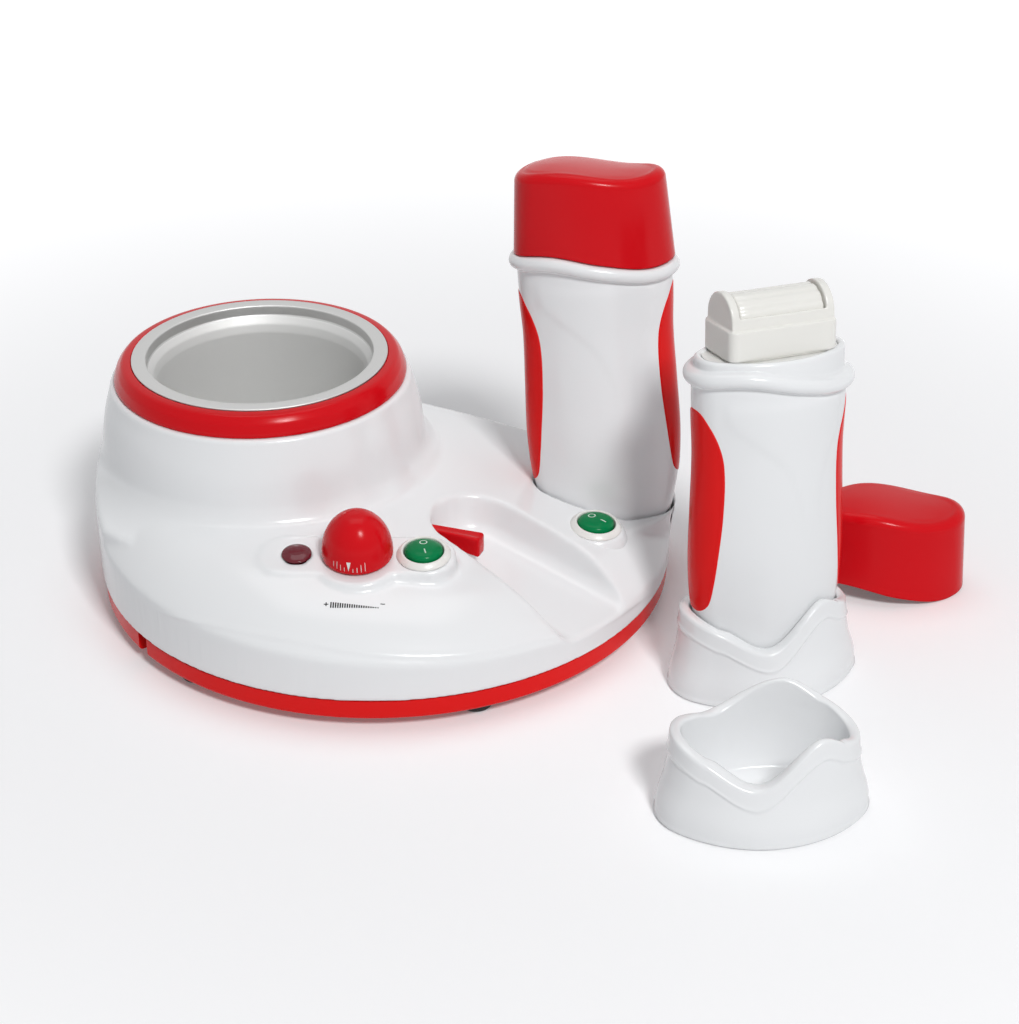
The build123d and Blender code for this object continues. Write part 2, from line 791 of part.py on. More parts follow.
insert_depth = 1.6
below_collar = wave_band(-40, collar_z)
with BuildPart() as grip_shell:
    add(grip_form(0))
    add(below_collar, mode=Mode.INTERSECT)
    extrude(oval(Plane.XY.offset(collar_z - 6), lip_w, lip_d, 17.5), amount=lip_z - collar_z + 6)
    top_rim = grip_shell.edges().group_by(Axis.Z)[-1]
    fillet(top_rim, radius=1.2)
    with BuildPart(mode=Mode.PRIVATE) as bead:
        extrude(oval(Plane.XY.offset(collar_z - 12), grip_w + 7.6, grip_d + 8, 19), amount=24)
    add(bead.part & wave_band(collar_z - 3.8, collar_z + 3.8))
    extrude(oval(Plane.XY.offset(26), cavity_w, cavity_d, 16), amount=200, mode=Mode.SUBTRACT)
    extrude(oval(Plane.XY.offset(6), cavity_w - 10, cavity_d - 8, 10), amount=30, mode=Mode.SUBTRACT)
    add(base_zone.part, mode=Mode.SUBTRACT)
    add(leaf_zone.part - grip_form(-insert_depth), mode=Mode.SUBTRACT)

with BuildPart() as grip_inserts:
    add(leaf_zone.part)
    add(grip_form(0), mode=Mode.INTERSECT)
    add(grip_form(-insert_depth), mode=Mode.SUBTRACT)

with BuildPart() as grip_base:
    add(grip_form(0))
    add(base_zone.part, mode=Mode.INTERSECT)
    with BuildSketch(Plane.XY):
        with GridLocations(20, 0, 2, 1):
            Circle(4.0)
    extrude(amount=1.6, mode=Mode.SUBTRACT)

with BuildPart() as grip_contacts:
    with BuildSketch(Plane.XY.offset(0.6)):
        with GridLocations(20, 0, 2, 1):
            Circle(3.9)
    extrude(amount=1.0)

with BuildPart() as heating_liner:
    extrude(oval(Plane.XY.offset(27), cavity_w - 1, cavity_d - 1, 15.5), amount=96)
    extrude(oval(Plane.XY.offset(28.2), cavity_w - 3.4, cavity_d - 3.4, 14.3), amount=100, mode=Mode.SUBTRACT)

# Cartridge: wax bottle with a closing plate, a head block with two cheeks, and the roller
plate_z = 159.5
with BuildPart() as cartridge:
    extrude(oval(Plane.XY.offset(29), cavity_w - 6, cavity_d - 6, 13), amount=113)
    fillet(cartridge.edges().group_by(Axis.Z)[0], radius=2.5)
    extrude(oval(Plane.XY.offset(142), cavity_w - 14, cavity_d - 11, 9), amount=plate_z - 142)
    extrude(oval(Plane.XY.offset(plate_z - 1.5), cavity_w - 1.0, cavity_d - 1.0, 15.5), amount=2.0)

block_h = 15.5
cheek_t = 4.6
arch_r = 13.2
roller_len = head_w - 2 * cheek_t - 3.0
with BuildPart() as roller_head:
    with BuildSketch(Plane.XY.offset(plate_z + 0.5)):
        RectangleRounded(head_w - 2.0, head_d - 2.0, 4.0)
    extrude(amount=block_h)
    with BuildSketch(Plane.XY.offset(lip_z + 0.3)):
        RectangleRounded(head_w, head_d, 4.0)
    extrude(amount=plate_z + 0.5 + block_h - lip_z - 0.3)
    with BuildSketch(Plane.YZ):
        with Locations((0, roller_z)):
            Circle(arch_r)
        with Locations((0, roller_z - 4)):
            Rectangle(2 * arch_r, 8)
    extrude(amount=head_w / 2 - 1.4, both=True)
    with BuildSketch(Plane.YZ):
        with Locations((0, roller_z)):
            Circle(roller_r + 0.5)
        with Locations((0, roller_z + 20)):
            Rectangle(30, 34)
    extrude(amount=roller_len / 2 + 0.6, both=True, mode=Mode.SUBTRACT)
    with BuildSketch(Plane.YZ):
        with Locations((0, roller_z)):
            Circle(1.65)
    extrude(amount=head_w / 2 - 2.4, both=True, mode=Mode.SUBTRACT)

with BuildPart() as roller:
    with BuildSketch(Plane.YZ):
        with Locations((0, roller_z)):
            Circle(roller_r)
            with PolarLocations(roller_r + 1.8, 12):
                Circle(2.6, mode=Mode.SUBTRACT)
    extrude(amount=roller_len / 2, both=True)
    with BuildSketch(Plane.YZ):
        with Locations((0, roller_z)):
            Circle(1.6)
    extrude(amount=head_w / 2 - 3.0, both=True)


# Cap: tapered oval cover whose lower edge follows the wave of the collar
cap_walls = (
    (140, 83.0, 53.4),
    (cap_top + 6, 73.4, 44.4),
)
cap_inner = (
    (140, 78.4, 49.4),
    (163, 76.0, 47.5),
    (cap_top - 4.5, 70.2, 41.2),
)
with BuildPart() as cap_zone:
    with BuildSketch(Plane.XZ):
        with BuildLine():
            rim = wave_line(collar_z + 4.1)
            crest = Spline(
                (-wave_reach, cap_top + 0.2),
                (-17, cap_top + 3.4),
                (22, cap_top - 1.8),
                (wave_reach, cap_top + 0.6),
            )
            Line(rim @ 0, crest @ 0)
            Line(rim @ 1, crest @ 1)
        make_face()
    extrude(amount=40, both=True)

with BuildPart() as cap:
    for height, across, deep in cap_walls:
        add(oval(Plane.XY.offset(height), across, deep, 18))
    loft()
    add(cap_zone.part, mode=Mode.INTERSECT)
    crown = cap.faces().sort_by(Axis.Z)[-2:]
    with BuildPart(mode=Mode.PRIVATE) as hollow:
        for height, across, deep in cap_inner:
            add(oval(Plane.XY.offset(height), across, deep, 18))
        loft()
    add(hollow.part, mode=Mode.SUBTRACT)

# Cradle: flared foot, cup for a handpiece, wavy rim with a notch for the lead
cradle_sections = (
    (0, 99.0, 67.0, 0.0),
    (8, 98.0, 66.0, 0.4),
    (20, 91.0, 59.5, 1.7),
    (40, 85.5, 54.5, 4.0),
    (56, 84.5, 53.5, 6.0),
)


def cradle_form(inset):
    with BuildPart() as form:
        for height, across, deep, back in cradle_sections:
            add(oval(Plane((0, back, height)), across - 2 * inset, deep - 2 * inset, 22 - inset))
        loft()
    return form.part


cup_gap = 0.8
cradle_wall = 2.5
cup_place = Plane(
    (0, 0, stand_floor),
    x_dir=(cos(radians(cup_lean)), 0, sin(radians(cup_lean))),
    z_dir=(
        -sin(radians(cup_lean)) * cos(radians(cup_back)),
        sin(radians(cup_back)),
        cos(radians(cup_lean)) * cos(radians(cup_back)),
    ),
).location
rim_front = ((-50, 44), (-36, 38.5), (-9, 27.2), (20, 46), (34, 40.5), (50, 33))
rim_rear = ((-50, 43), (-36, 39), (-20, 35.5), (14, 48), (34, 40.5), (50, 33))
with BuildPart() as cradle:
    add(cradle_form(0))
    with BuildPart(mode=Mode.PRIVATE) as cup:
        add(cup_place * grip_form(cup_gap))
    add(cup.part, mode=Mode.SUBTRACT)
    with BuildPart(mode=Mode.PRIVATE) as underside:
        add(cradle_form(cradle_wall))
        add(
            cup_place * Location((0, 0, -2.0)) * grip_form(cup_gap + cradle_wall),
            mode=Mode.SUBTRACT,
        )
        with BuildSketch(Plane.XY.offset(24)):
            Rectangle(140, 140)
        extrude(amount=60, mode=Mode.SUBTRACT)
    add(underside.part, mode=Mode.SUBTRACT)
    for side, profile in ((1, rim_front), (-1, rim_rear)):
        with BuildSketch(Plane.XZ):
            with BuildLine():
                edge = Spline(*profile)
                Polyline(edge @ 1, (50, 90), (-50, 90), edge @ 0)
            make_face()
        extrude(amount=side * 60, mode=Mode.SUBTRACT)
    with BuildSketch(Plane.YZ.offset(25)):
        with Locations((0, 50)):
            SlotOverall(44, 8, rotation=90)
    extrude(amount=40, mode=Mode.SUBTRACT)

# Placing the handpieces, caps and cradles
docked = dock_plane.location
standing = stand_plane.location * cup_place * Location((0, 0, 0.3))
grip_pieces = (
    (grip_shell.part, "grip_shell"),
    (grip_inserts.part, "grip_inserts"),
    (grip_base.part, "grip_base"),
    (grip_contacts.part, "grip_contacts"),
    (heating_liner.part, "heating_liner"),
    (cartridge.part, "cartridge"),
    (roller_head.part, "roller_head"),
    (roller.part, "roller"),
)
for piece, name in grip_pieces:
    keep(docked * piece, name + "_1")
    keep(standing * piece, name + "_2")
keep(docked * cap.part, "cap_1")
loose_cap_drop = collar_z + 3.99 - wave
keep(loose_cap_plane.offset(-loose_cap_drop).location * cap.part, "cap_2")
keep(spare_plane.location * cradle.part, "cradle_1")
keep(stand_plane.location * cradle.part, "cradle_2")
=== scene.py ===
import bmesh
import bpy
import math
from mathutils import Matrix, Vector
from mathutils.bvhtree import BVHTree


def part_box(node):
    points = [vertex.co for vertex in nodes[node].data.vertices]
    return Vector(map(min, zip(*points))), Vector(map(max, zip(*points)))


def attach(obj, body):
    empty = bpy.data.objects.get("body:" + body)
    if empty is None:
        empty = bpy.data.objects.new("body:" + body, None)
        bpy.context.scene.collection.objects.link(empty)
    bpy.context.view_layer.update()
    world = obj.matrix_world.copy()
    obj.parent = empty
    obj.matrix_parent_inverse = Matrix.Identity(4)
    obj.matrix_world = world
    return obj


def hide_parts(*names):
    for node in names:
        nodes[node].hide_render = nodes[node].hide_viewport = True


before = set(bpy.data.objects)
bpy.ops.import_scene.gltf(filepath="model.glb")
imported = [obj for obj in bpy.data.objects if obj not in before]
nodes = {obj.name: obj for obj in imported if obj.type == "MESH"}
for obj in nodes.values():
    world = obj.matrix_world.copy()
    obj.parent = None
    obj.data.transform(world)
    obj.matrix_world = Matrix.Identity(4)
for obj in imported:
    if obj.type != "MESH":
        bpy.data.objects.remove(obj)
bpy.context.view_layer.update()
mm = 0.001

# The photograph's view: a camera a metre in front of the base unit and 0.6 m above the table,
# looking down at it. All places on the base unit are measured from the middle of its round pan.
pan_low, pan_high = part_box("bottom_pan")
pan_radius = 149 * mm
base = Vector(((pan_low.x + pan_high.x) / 2, pan_low.y + pan_radius, 0))
view_place = base + Vector((65, -967, 586)) * mm
view_pitch = math.radians(29.7)
image_width, focal_pixels, sensor_width = 1019, 2101, 36
lens_data = bpy.data.cameras.new("camera")
lens_data.sensor_fit = "HORIZONTAL"
lens_data.sensor_width = sensor_width
lens_data.lens = sensor_width * focal_pixels / image_width
lens_data.clip_start = 0.01
camera = bpy.data.objects.new("camera", lens_data)
camera.location = view_place
camera.rotation_euler = (math.pi / 2 - view_pitch, 0, 0)
bpy.context.scene.collection.objects.link(camera)
bpy.context.scene.camera = camera
bpy.context.scene.view_settings.view_transform = "Standard"


# Studio: a soft lamp high on the right front, a weak one overhead, and a white table. The table
# keeps the shadow that falls to the left, and glows more the further away it is, so that its far
# end runs out into the plain white backdrop.
def soft_lamp(name, place, aim, size, watts):
    data = bpy.data.lights.new(name, "AREA")
    data.shape = "RECTANGLE"
    data.size, data.size_y = size
    data.energy = watts
    lamp = bpy.data.objects.new(name, data)
    lamp.location = base + Vector(place)
    lamp.rotation_euler = (Vector(aim) - Vector(place)).to_track_quat("-Z", "Y").to_euler()
    bpy.context.scene.collection.objects.link(lamp)


soft_lamp("key_lamp", place=(1.15, -2.47, 2.93), aim=(0.03, 0, 0.05), size=(0.7, 0.7), watts=88)
soft_lamp("top_lamp", place=(0.0, 0.35, 1.9), aim=(0.03, 0, 0), size=(1.3, 1.0), watts=6.8)


def seen_rays(tree):
    """Socket that is 1 for rays from the camera, through clear pieces and off glossy ones."""
    path = tree.nodes.new("ShaderNodeLightPath")
    socket = path.outputs["Is Camera Ray"]
    for kind in ("Is Transmission Ray", "Is Glossy Ray"):
        either = tree.nodes.new("ShaderNodeMath")
        either.operation = "MAXIMUM"
        tree.links.new(socket, either.inputs[0])
        tree.links.new(path.outputs[kind], either.inputs[1])
        socket = either.outputs[0]
    return socket


world = bpy.data.worlds.new("studio")
bpy.context.scene.world = world
world.use_nodes = True
sky = world.node_tree.nodes
sky_links = world.node_tree.links
sky.clear()
sky_out = sky.new("ShaderNodeOutputWorld")
seen = sky.new("ShaderNodeBackground")
seen.inputs["Color"].default_value = (1, 1, 1, 1)
fill = sky.new("ShaderNodeBackground")
fill.inputs["Color"].default_value = (0.95, 0.97, 1, 1)
fill.inputs["Strength"].default_value = 0.24
sky_mix = sky.new("ShaderNodeMixShader")
sky_links.new(seen_rays(world.node_tree), sky_mix.inputs["Fac"])
sky_links.new(fill.outputs[0], sky_mix.inputs[1])
sky_links.new(seen.outputs[0], sky_mix.inputs[2])
sky_links.new(sky_mix.outputs[0], sky_out.inputs["Surface"])

table_size, table_drop = 8.0, 0.3 * mm
table_mesh = bpy.data.meshes.new("table")
bm = bmesh.new()
bmesh.ops.create_grid(bm, x_segments=1, y_segments=1, size=table_size / 2)
bm.to_mesh(table_mesh)
bm.free()
table = bpy.data.objects.new("table", table_mesh)
bpy.context.scene.collection.objects.link(table)
table.location = (0, 0, -table_drop)
table_paint = bpy.data.materials.new("table_white")
table_paint.use_nodes = True
paint = table_paint.node_tree.nodes
paint.clear()
paint_out = paint.new("ShaderNodeOutputMaterial")
matt = paint.new("ShaderNodeBsdfDiffuse")
matt.inputs["Color"].default_value = (0.92, 0.92, 0.93, 1)
glow = paint.new("ShaderNodeEmission")
glow.inputs["Color"].default_value = (1, 1, 1, 1)
paint_place = paint.new("ShaderNodeNewGeometry")
distance = paint.new("ShaderNodeVectorMath")
distance.operation = "LENGTH"
table_links = table_paint.node_tree.links
table_links.new(paint_place.outputs["Position"], distance.inputs[0])
glow_ramp = paint.new("ShaderNodeMapRange")
glow_ramp.interpolation_type = "SMOOTHSTEP"
for socket, value in (("From Min", 0.16), ("From Max", 1.5), ("To Min", 0.1), ("To Max", 1.0)):
    glow_ramp.inputs[socket].default_value = value
table_links.new(distance.outputs["Value"], glow_ramp.inputs["Value"])
lift = paint.new("ShaderNodeMath")
lift.operation = "MULTIPLY"
table_links.new(seen_rays(table_paint.node_tree), lift.inputs[0])
table_links.new(glow_ramp.outputs[0], lift.inputs[1])
both = paint.new("ShaderNodeAddShader")
table_links.new(lift.outputs[0], glow.inputs["Strength"])
table_links.new(matt.outputs[0], both.inputs[0])
table_links.new(glow.outputs[0], both.inputs[1])
table_links.new(both.outputs[0], paint_out.inputs["Surface"])
table_mesh.materials.append(table_paint)


# Housing: glossy white ABS moulding with soft edges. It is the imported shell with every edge
# eased, as the rounded corners of the mould ease them.
def moulded_finish():
    """Shared look of moulded plastic: faint flow marks in the colour and a very fine ripple."""
    group = bpy.data.node_groups.new("moulded_finish", "ShaderNodeTree")
    face = group.interface
    face.new_socket("Base", in_out="INPUT", socket_type="NodeSocketColor")
    face.new_socket("Shift", in_out="INPUT", socket_type="NodeSocketFloat")
    face.new_socket("Gloss", in_out="INPUT", socket_type="NodeSocketFloat")
    face.new_socket("Ripple", in_out="INPUT", socket_type="NodeSocketFloat")
    face.new_socket("Color", in_out="OUTPUT", socket_type="NodeSocketColor")
    face.new_socket("Roughness", in_out="OUTPUT", socket_type="NodeSocketFloat")
    face.new_socket("Normal", in_out="OUTPUT", socket_type="NodeSocketVector")
    n, links = group.nodes, group.links
    given = n.new("NodeGroupInput")
    result = n.new("NodeGroupOutput")
    place = n.new("ShaderNodeTexCoord")
    flow = n.new("ShaderNodeTexNoise")
    flow.inputs["Scale"].default_value = 14
    flow.inputs["Detail"].default_value = 3
    links.new(place.outputs["Object"], flow.inputs["Vector"])
    centred = n.new("ShaderNodeMath")
    centred.operation = "SUBTRACT"
    links.new(flow.outputs["Fac"], centred.inputs[0])
    centred.inputs[1].default_value = 0.5
    shade = n.new("ShaderNodeMath")
    shade.operation = "MULTIPLY_ADD"
    links.new(centred.outputs[0], shade.inputs[0])
    links.new(given.outputs["Shift"], shade.inputs[1])
    shade.inputs[2].default_value = 1
    tint = n.new("ShaderNodeVectorMath")
    tint.operation = "SCALE"
    links.new(given.outputs["Base"], tint.inputs[0])
    links.new(shade.outputs[0], tint.inputs["Scale"])
    links.new(tint.outputs[0], result.inputs["Color"])
    fine = n.new("ShaderNodeTexNoise")
    fine.inputs["Scale"].default_value = 260
    fine.inputs["Detail"].default_value = 2
    links.new(place.outputs["Object"], fine.inputs["Vector"])
    rough = n.new("ShaderNodeMath")
    rough.operation = "MULTIPLY_ADD"
    links.new(fine.outputs["Fac"], rough.inputs[0])
    rough.inputs[1].default_value = 0.06
    links.new(given.outputs["Gloss"], rough.inputs[2])
    links.new(rough.outputs[0], result.inputs["Roughness"])
    bump = n.new("ShaderNodeBump")
    bump.inputs["Strength"].default_value = 0.35
    links.new(given.outputs["Ripple"], bump.inputs["Distance"])
    links.new(fine.outputs["Fac"], bump.inputs["Height"])
    links.new(bump.outputs[0], result.inputs["Normal"])
    return group


plastic_look = moulded_finish()


def moulded(
    name, colour, gloss=0.2, shift=0.04, ripple=0.00004, see_through=0.0, glow_in=0.0, shine=0.5
):
    """A moulded plastic of one colour."""
    made = bpy.data.materials.new(name)
    made.use_nodes = True
    tree = made.node_tree
    shader = tree.nodes["Principled BSDF"]
    look = tree.nodes.new("ShaderNodeGroup")
    look.node_tree = plastic_look
    look.inputs["Base"].default_value = (*colour, 1)
    look.inputs["Shift"].default_value = shift
    look.inputs["Gloss"].default_value = gloss
    look.inputs["Ripple"].default_value = ripple
    tree.links.new(look.outputs["Color"], shader.inputs["Base Color"])
    tree.links.new(look.outputs["Roughness"], shader.inputs["Roughness"])
    tree.links.new(look.outputs["Normal"], shader.inputs["Normal"])
    shader.inputs["IOR"].default_value = 1.5
    shader.inputs["Specular IOR Level"].default_value = shine
    shader.inputs["Transmission Weight"].default_value = see_through
    shader.inputs["Subsurface Weight"].default_value = glow_in
    shader.inputs["Subsurface Radius"].default_value = (0.004, 0.004, 0.004)
    return made


def finish_node(name, look):
    """Give a CAD node its finish."""
    mesh = nodes[name].data
    mesh.materials.clear()
    mesh.materials.append(look)
    mesh.polygons.foreach_set("material_index", [0] * len(mesh.polygons))


def add_piece(name, mesh, look, body, slot, *stands_for):
    """Put a finished mesh in the scene as a piece of its body."""
    piece = bpy.data.objects.new(name, mesh)
    bpy.context.scene.collection.objects.link(piece)
    mesh.materials.append(look)
    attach(piece, body)
    if stands_for:
        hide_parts(*stands_for)
    return piece


white_abs = moulded("white_abs", (0.84, 0.85, 0.86), gloss=0.16, shift=0.03)
red_abs = moulded("red_abs", (0.64, 0.004, 0.009), gloss=0.16, shift=0.08, shine=0.12)
red_trim = moulded("red_trim", (0.76, 0.008, 0.008), gloss=0.18, shift=0.08, shine=0.12)


def eased_copy(node, cell, passes, name):
    """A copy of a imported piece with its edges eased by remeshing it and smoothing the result."""
    copy = nodes[node].data.copy()
    copy.materials.clear()
    bm = bmesh.new()
    bm.from_mesh(copy)
    bmesh.ops.remove_doubles(bm, verts=bm.verts, dist=0.01 * mm)
    bm.to_mesh(copy)
    bm.free()
    holder = bpy.data.objects.new(name + "_raw", copy)
    bpy.context.scene.collection.objects.link(holder)
    remesh = holder.modifiers.new("cells", "REMESH")
    remesh.mode = "VOXEL"
    remesh.voxel_size = cell
    smooth = holder.modifiers.new("ease", "CORRECTIVE_SMOOTH")
    smooth.factor = 0.6
    smooth.iterations = passes
    smooth.use_only_smooth = True
    thin = holder.modifiers.new("thin", "DECIMATE")
    thin.ratio = 0.5
    depsgraph = bpy.context.evaluated_depsgraph_get()
    mesh = bpy.data.meshes.new_from_object(holder.evaluated_get(depsgraph))
    mesh.name = name
    bpy.data.objects.remove(holder)
    mesh.polygons.foreach_set("use_smooth", [True] * len(mesh.polygons))
    return mesh


def between(table, height):
    """Smooth values between the rows of a small table whose first column is the height."""
    last = len(table) - 1
    k = 0
    while k < last - 1 and height > table[k + 1][0]:
        k += 1
    low, high = table[k], table[k + 1]
    before, after = table[max(k - 1, 0)], table[min(k + 2, last)]
    span = high[0] - low[0]
    t = min(max((height - low[0]) / span, 0), 1)
    values = []
    for column in range(1, len(low)):
        rise_low = (high[column] - before[column]) / (high[0] - before[0]) * span
        rise_high = (after[column] - low[column]) / (after[0] - low[0]) * span
        values.append(
            (2 * t**3 - 3 * t**2 + 1) * low[column]
            + (t**3 - 2 * t**2 + t) * rise_low
            + (3 * t**2 - 2 * t**3) * high[column]
            + (t**3 - t**2) * rise_high
        )
    return values


def fade(value, start, end):
    """0 before start, 1 after end, smooth between them."""
    t = min(max((value - start) / (end - start), 0), 1)
    return t * t * (3 - 2 * t)


housing_mesh = eased_copy("upper_shell", 1.1 * mm, 8, "housing")
# A shallow crease runs round the lower skirt, a faint ridge with a hollow below it: its height
# in mm at each bearing in degrees.
crease = [
    (-137, 38.9), (-124, 44.4), (-113, 45.6), (-103, 45.0), (-94, 42.7), (-85, 40.3), (-73, 37.5),
    (-66, 36.4), (-57, 35.0), (-42, 28.3), (-31, 25.9), (-25, 22.5),
]
ridge_height, hollow_depth = 0.4, 0.45
facing = [vertex.normal.copy() for vertex in housing_mesh.vertices]
for vertex, outward in zip(housing_mesh.vertices, facing):
    arm = Vector((vertex.co.x - base.x, vertex.co.y - base.y, 0))
    bearing = math.degrees(math.atan2(arm.y, arm.x))
    height = vertex.co.z / mm
    if not (-150 < bearing < -22 and 15 < height < 50 and arm.length > 0.13):
        continue
    facing_out = fade(outward.dot(arm.normalized()), 0.15, 0.45)
    rise = height - between(crease, bearing)[0]
    ends = fade(bearing, -146, -126) * fade(bearing, -22, -33)
    ridge = ridge_height * math.exp(-((rise / 1.2) ** 2))
    hollow = -hollow_depth * fade(rise, 0.5, -2.5) * fade(height, 17, 26)
    vertex.co += arm.normalized() * (ridge + hollow) * ends * facing_out * mm
add_piece("housing", housing_mesh, white_abs, "base_unit", "white_plastic", "upper_shell")

# Pan: the red tray that closes the housing from below, with black feet and zinc-plated screws.
finish_node("bottom_pan", red_trim)
black_rubber = moulded("black_rubber", (0.012, 0.012, 0.013), gloss=0.55, shift=0.2, ripple=0.0002)
finish_node("rubber_feet", black_rubber)


def metal(name, colour, roughness, metallic=1.0):
    """Plain metal with a faint cloudy roughness."""
    made = bpy.data.materials.new(name)
    made.use_nodes = True
    tree = made.node_tree
    shader = tree.nodes["Principled BSDF"]
    shader.inputs["Base Color"].default_value = (*colour, 1)
    shader.inputs["Metallic"].default_value = metallic
    place = tree.nodes.new("ShaderNodeTexCoord")
    cloud = tree.nodes.new("ShaderNodeTexNoise")
    cloud.inputs["Scale"].default_value = 180
    tree.links.new(place.outputs["Object"], cloud.inputs["Vector"])
    rough = tree.nodes.new("ShaderNodeMath")
    rough.operation = "MULTIPLY_ADD"
    rough.inputs[1].default_value = 0.12
    rough.inputs[2].default_value = roughness
    tree.links.new(cloud.outputs["Fac"], rough.inputs[0])
    tree.links.new(rough.outputs[0], shader.inputs["Roughness"])
    bump = tree.nodes.new("ShaderNodeBump")
    bump.inputs["Strength"].default_value = 0.4
    bump.inputs["Distance"].default_value = 0.00004
    tree.links.new(cloud.outputs["Fac"], bump.inputs["Height"])
    tree.links.new(bump.outputs[0], shader.inputs["Normal"])
    return made


plated_steel = metal("plated_steel", (0.6, 0.6, 0.62), 0.25)
finish_node("pan_screws", plated_steel)


# Ring and well: glossy red moulded ring, and inside it a spun aluminium pot with a flat
# satin flange, a step under the mouth and a straight wall for the tin.
def turned(name, profile, centre, axis=(0, 0, 1), steps=160):
    """A body of revolution: a profile of (radius, height) in mm, spun once round its axis."""
    bm = bmesh.new()
    turn = Vector((0, 0, 1)).rotation_difference(Vector(axis)).to_matrix().to_4x4()
    corners = [bm.verts.new((radius * mm, 0, height * mm)) for radius, height in profile]
    for low, high in zip(corners, corners[1:]):
        bm.edges.new((low, high))
    bmesh.ops.spin(
        bm,
        geom=bm.verts[:] + bm.edges[:],
        cent=(0, 0, 0),
        axis=(0, 0, 1),
        angle=2 * math.pi,
        steps=steps,
        use_merge=True,
    )
    bmesh.ops.remove_doubles(bm, verts=bm.verts, dist=0.002 * mm)
    bmesh.ops.recalc_face_normals(bm, faces=bm.faces)
    for face in bm.faces:
        face.smooth = True
    bm.transform(Matrix.Translation(centre) @ turn)
    mesh = bpy.data.meshes.new(name)
    bm.to_mesh(mesh)
    bm.free()
    return mesh


def arc_points(centre, radius, start, end, steps):
    """Points of (radius, height) on an arc of the profile, angles in degrees."""
    points = []
    for step in range(steps + 1):
        angle = math.radians(start + (end - start) * step / steps)
        points.append((centre[0] + radius * math.cos(angle), centre[1] + radius * math.sin(angle)))
    return points


def eased(points, radius, steps=4):
    """Round the corners of an open profile."""
    result = [points[0]]
    for before, corner, after in zip(points, points[1:], points[2:]):
        corner = Vector(corner)
        back = Vector(before) - corner
        ahead = Vector(after) - corner
        reach = min(radius, back.length * 0.45, ahead.length * 0.45)
        start = corner + back.normalized() * reach
        end = corner + ahead.normalized() * reach
        for step in range(steps + 1):
            t = step / steps
            point = start * (1 - t) ** 2 + corner * 2 * t * (1 - t) + end * t**2
            result.append((point.x, point.y))
    result.append(points[-1])
    return result


ring_low, ring_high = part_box("pot_ring")
tower = Vector(((ring_low.x + ring_high.x) / 2, (ring_low.y + ring_high.y) / 2, 0))
tower_top, well_top, flange_radius = 108.5, 120.0, 66.0
ring_profile = eased(
    [
        (64.0, well_top - 1.6),
        (64.0, tower_top + 0.1),
        (75.5, tower_top + 0.1),
        (75.5, tower_top + 2.2),
        (73.8, tower_top + 6.8),
        (70.9, tower_top + 10.3),
        (66.4, tower_top + 10.8),
        (66.4, well_top - 1.6),
        (64.0, well_top - 1.6),
    ],
    1.4,
)
add_piece(
    "ring", turned("ring", ring_profile, tower), red_abs, "base_unit", "red_plastic", "pot_ring"
)

well_radius, well_floor, mouth_radius = 54.0, 25.5, 58.7
floor_round, sheet = 12, 1.4
inner_line = [(0, well_floor), (well_radius - floor_round, well_floor)]
round_middle = (well_radius - floor_round, well_floor + floor_round)
inner_line += arc_points(round_middle, floor_round, -90, 0, 10)[1:]
inner_line += eased(
    [
        (well_radius, 70),
        (well_radius, 106.0),
        (well_radius + 1.2, 110.6),
        (well_radius + 3.4, 113.6),
        (mouth_radius - 0.3, 114.6),
        (mouth_radius - 0.2, well_top - 0.1),
        (flange_radius, well_top - 0.1),
        (flange_radius, well_top - 1.3),
        (mouth_radius + 1.2, well_top - 1.3),
        (mouth_radius + 1.0, 112.2),
        (well_radius + sheet, 108.0),
        (well_radius + sheet, well_floor + floor_round),
    ],
    0.9,
)
inner_line += arc_points(round_middle, floor_round + sheet, 0, -90, 8)
inner_line += [(0, well_floor - sheet)]
ledge_height = 114
spun_aluminium = metal("spun_aluminium", (0.52, 0.52, 0.515), 0.44)
blasted_aluminium = metal("blasted_aluminium", (0.7, 0.7, 0.69), 0.5, metallic=0.35)
well = add_piece(
    "well_pot", turned("well_pot", inner_line, tower), spun_aluminium, "base_unit", "aluminium",
    "well",
)
well.data.materials.append(blasted_aluminium)
for face in well.data.polygons:
    face.material_index = int(face.center.z < ledge_height * mm)
finish_node("heating_liner_1", spun_aluminium)
finish_node("heating_liner_2", spun_aluminium)


# Heater and its carriers, hidden in the tower: steel band, fibre sleeve, spider and cut-out.
finish_node("heater_band", plated_steel)
finish_node("pot_bracket", plated_steel)
finish_node("thermal_cutout", plated_steel)
felt = moulded("felt_sleeve", (0.66, 0.63, 0.56), gloss=0.8, shift=0.5, ripple=0.0006)
finish_node("insulation", felt)


# Control pad: bullet-shaped red knob on the thermostat, its scale printed in white on the skirt.
pad_tilt = math.radians(8)
pad_middle = base + Vector((-8.5, -94.0, 64.5)) * mm
pad_up = Vector((0, -math.sin(pad_tilt), math.cos(pad_tilt)))
pad_back = Vector((0, math.cos(pad_tilt), math.sin(pad_tilt)))


def curve_points(control, steps):
    """A smooth line of (radius, height) through the control points."""
    ends = [control[0], *control, control[-1]]
    points = []
    for k in range(1, len(ends) - 2):
        a, b, c, d = (Vector(p) for p in ends[k - 1 : k + 3])
        for step in range(steps):
            t = step / steps
            square, cube = 2 * a - 5 * b + 4 * c - d, 3 * b - a - 3 * c + d
            point = 0.5 * (2 * b + (c - a) * t + square * t**2 + cube * t**3)
            points.append((point.x, point.y))
    points.append(control[-1])
    return points


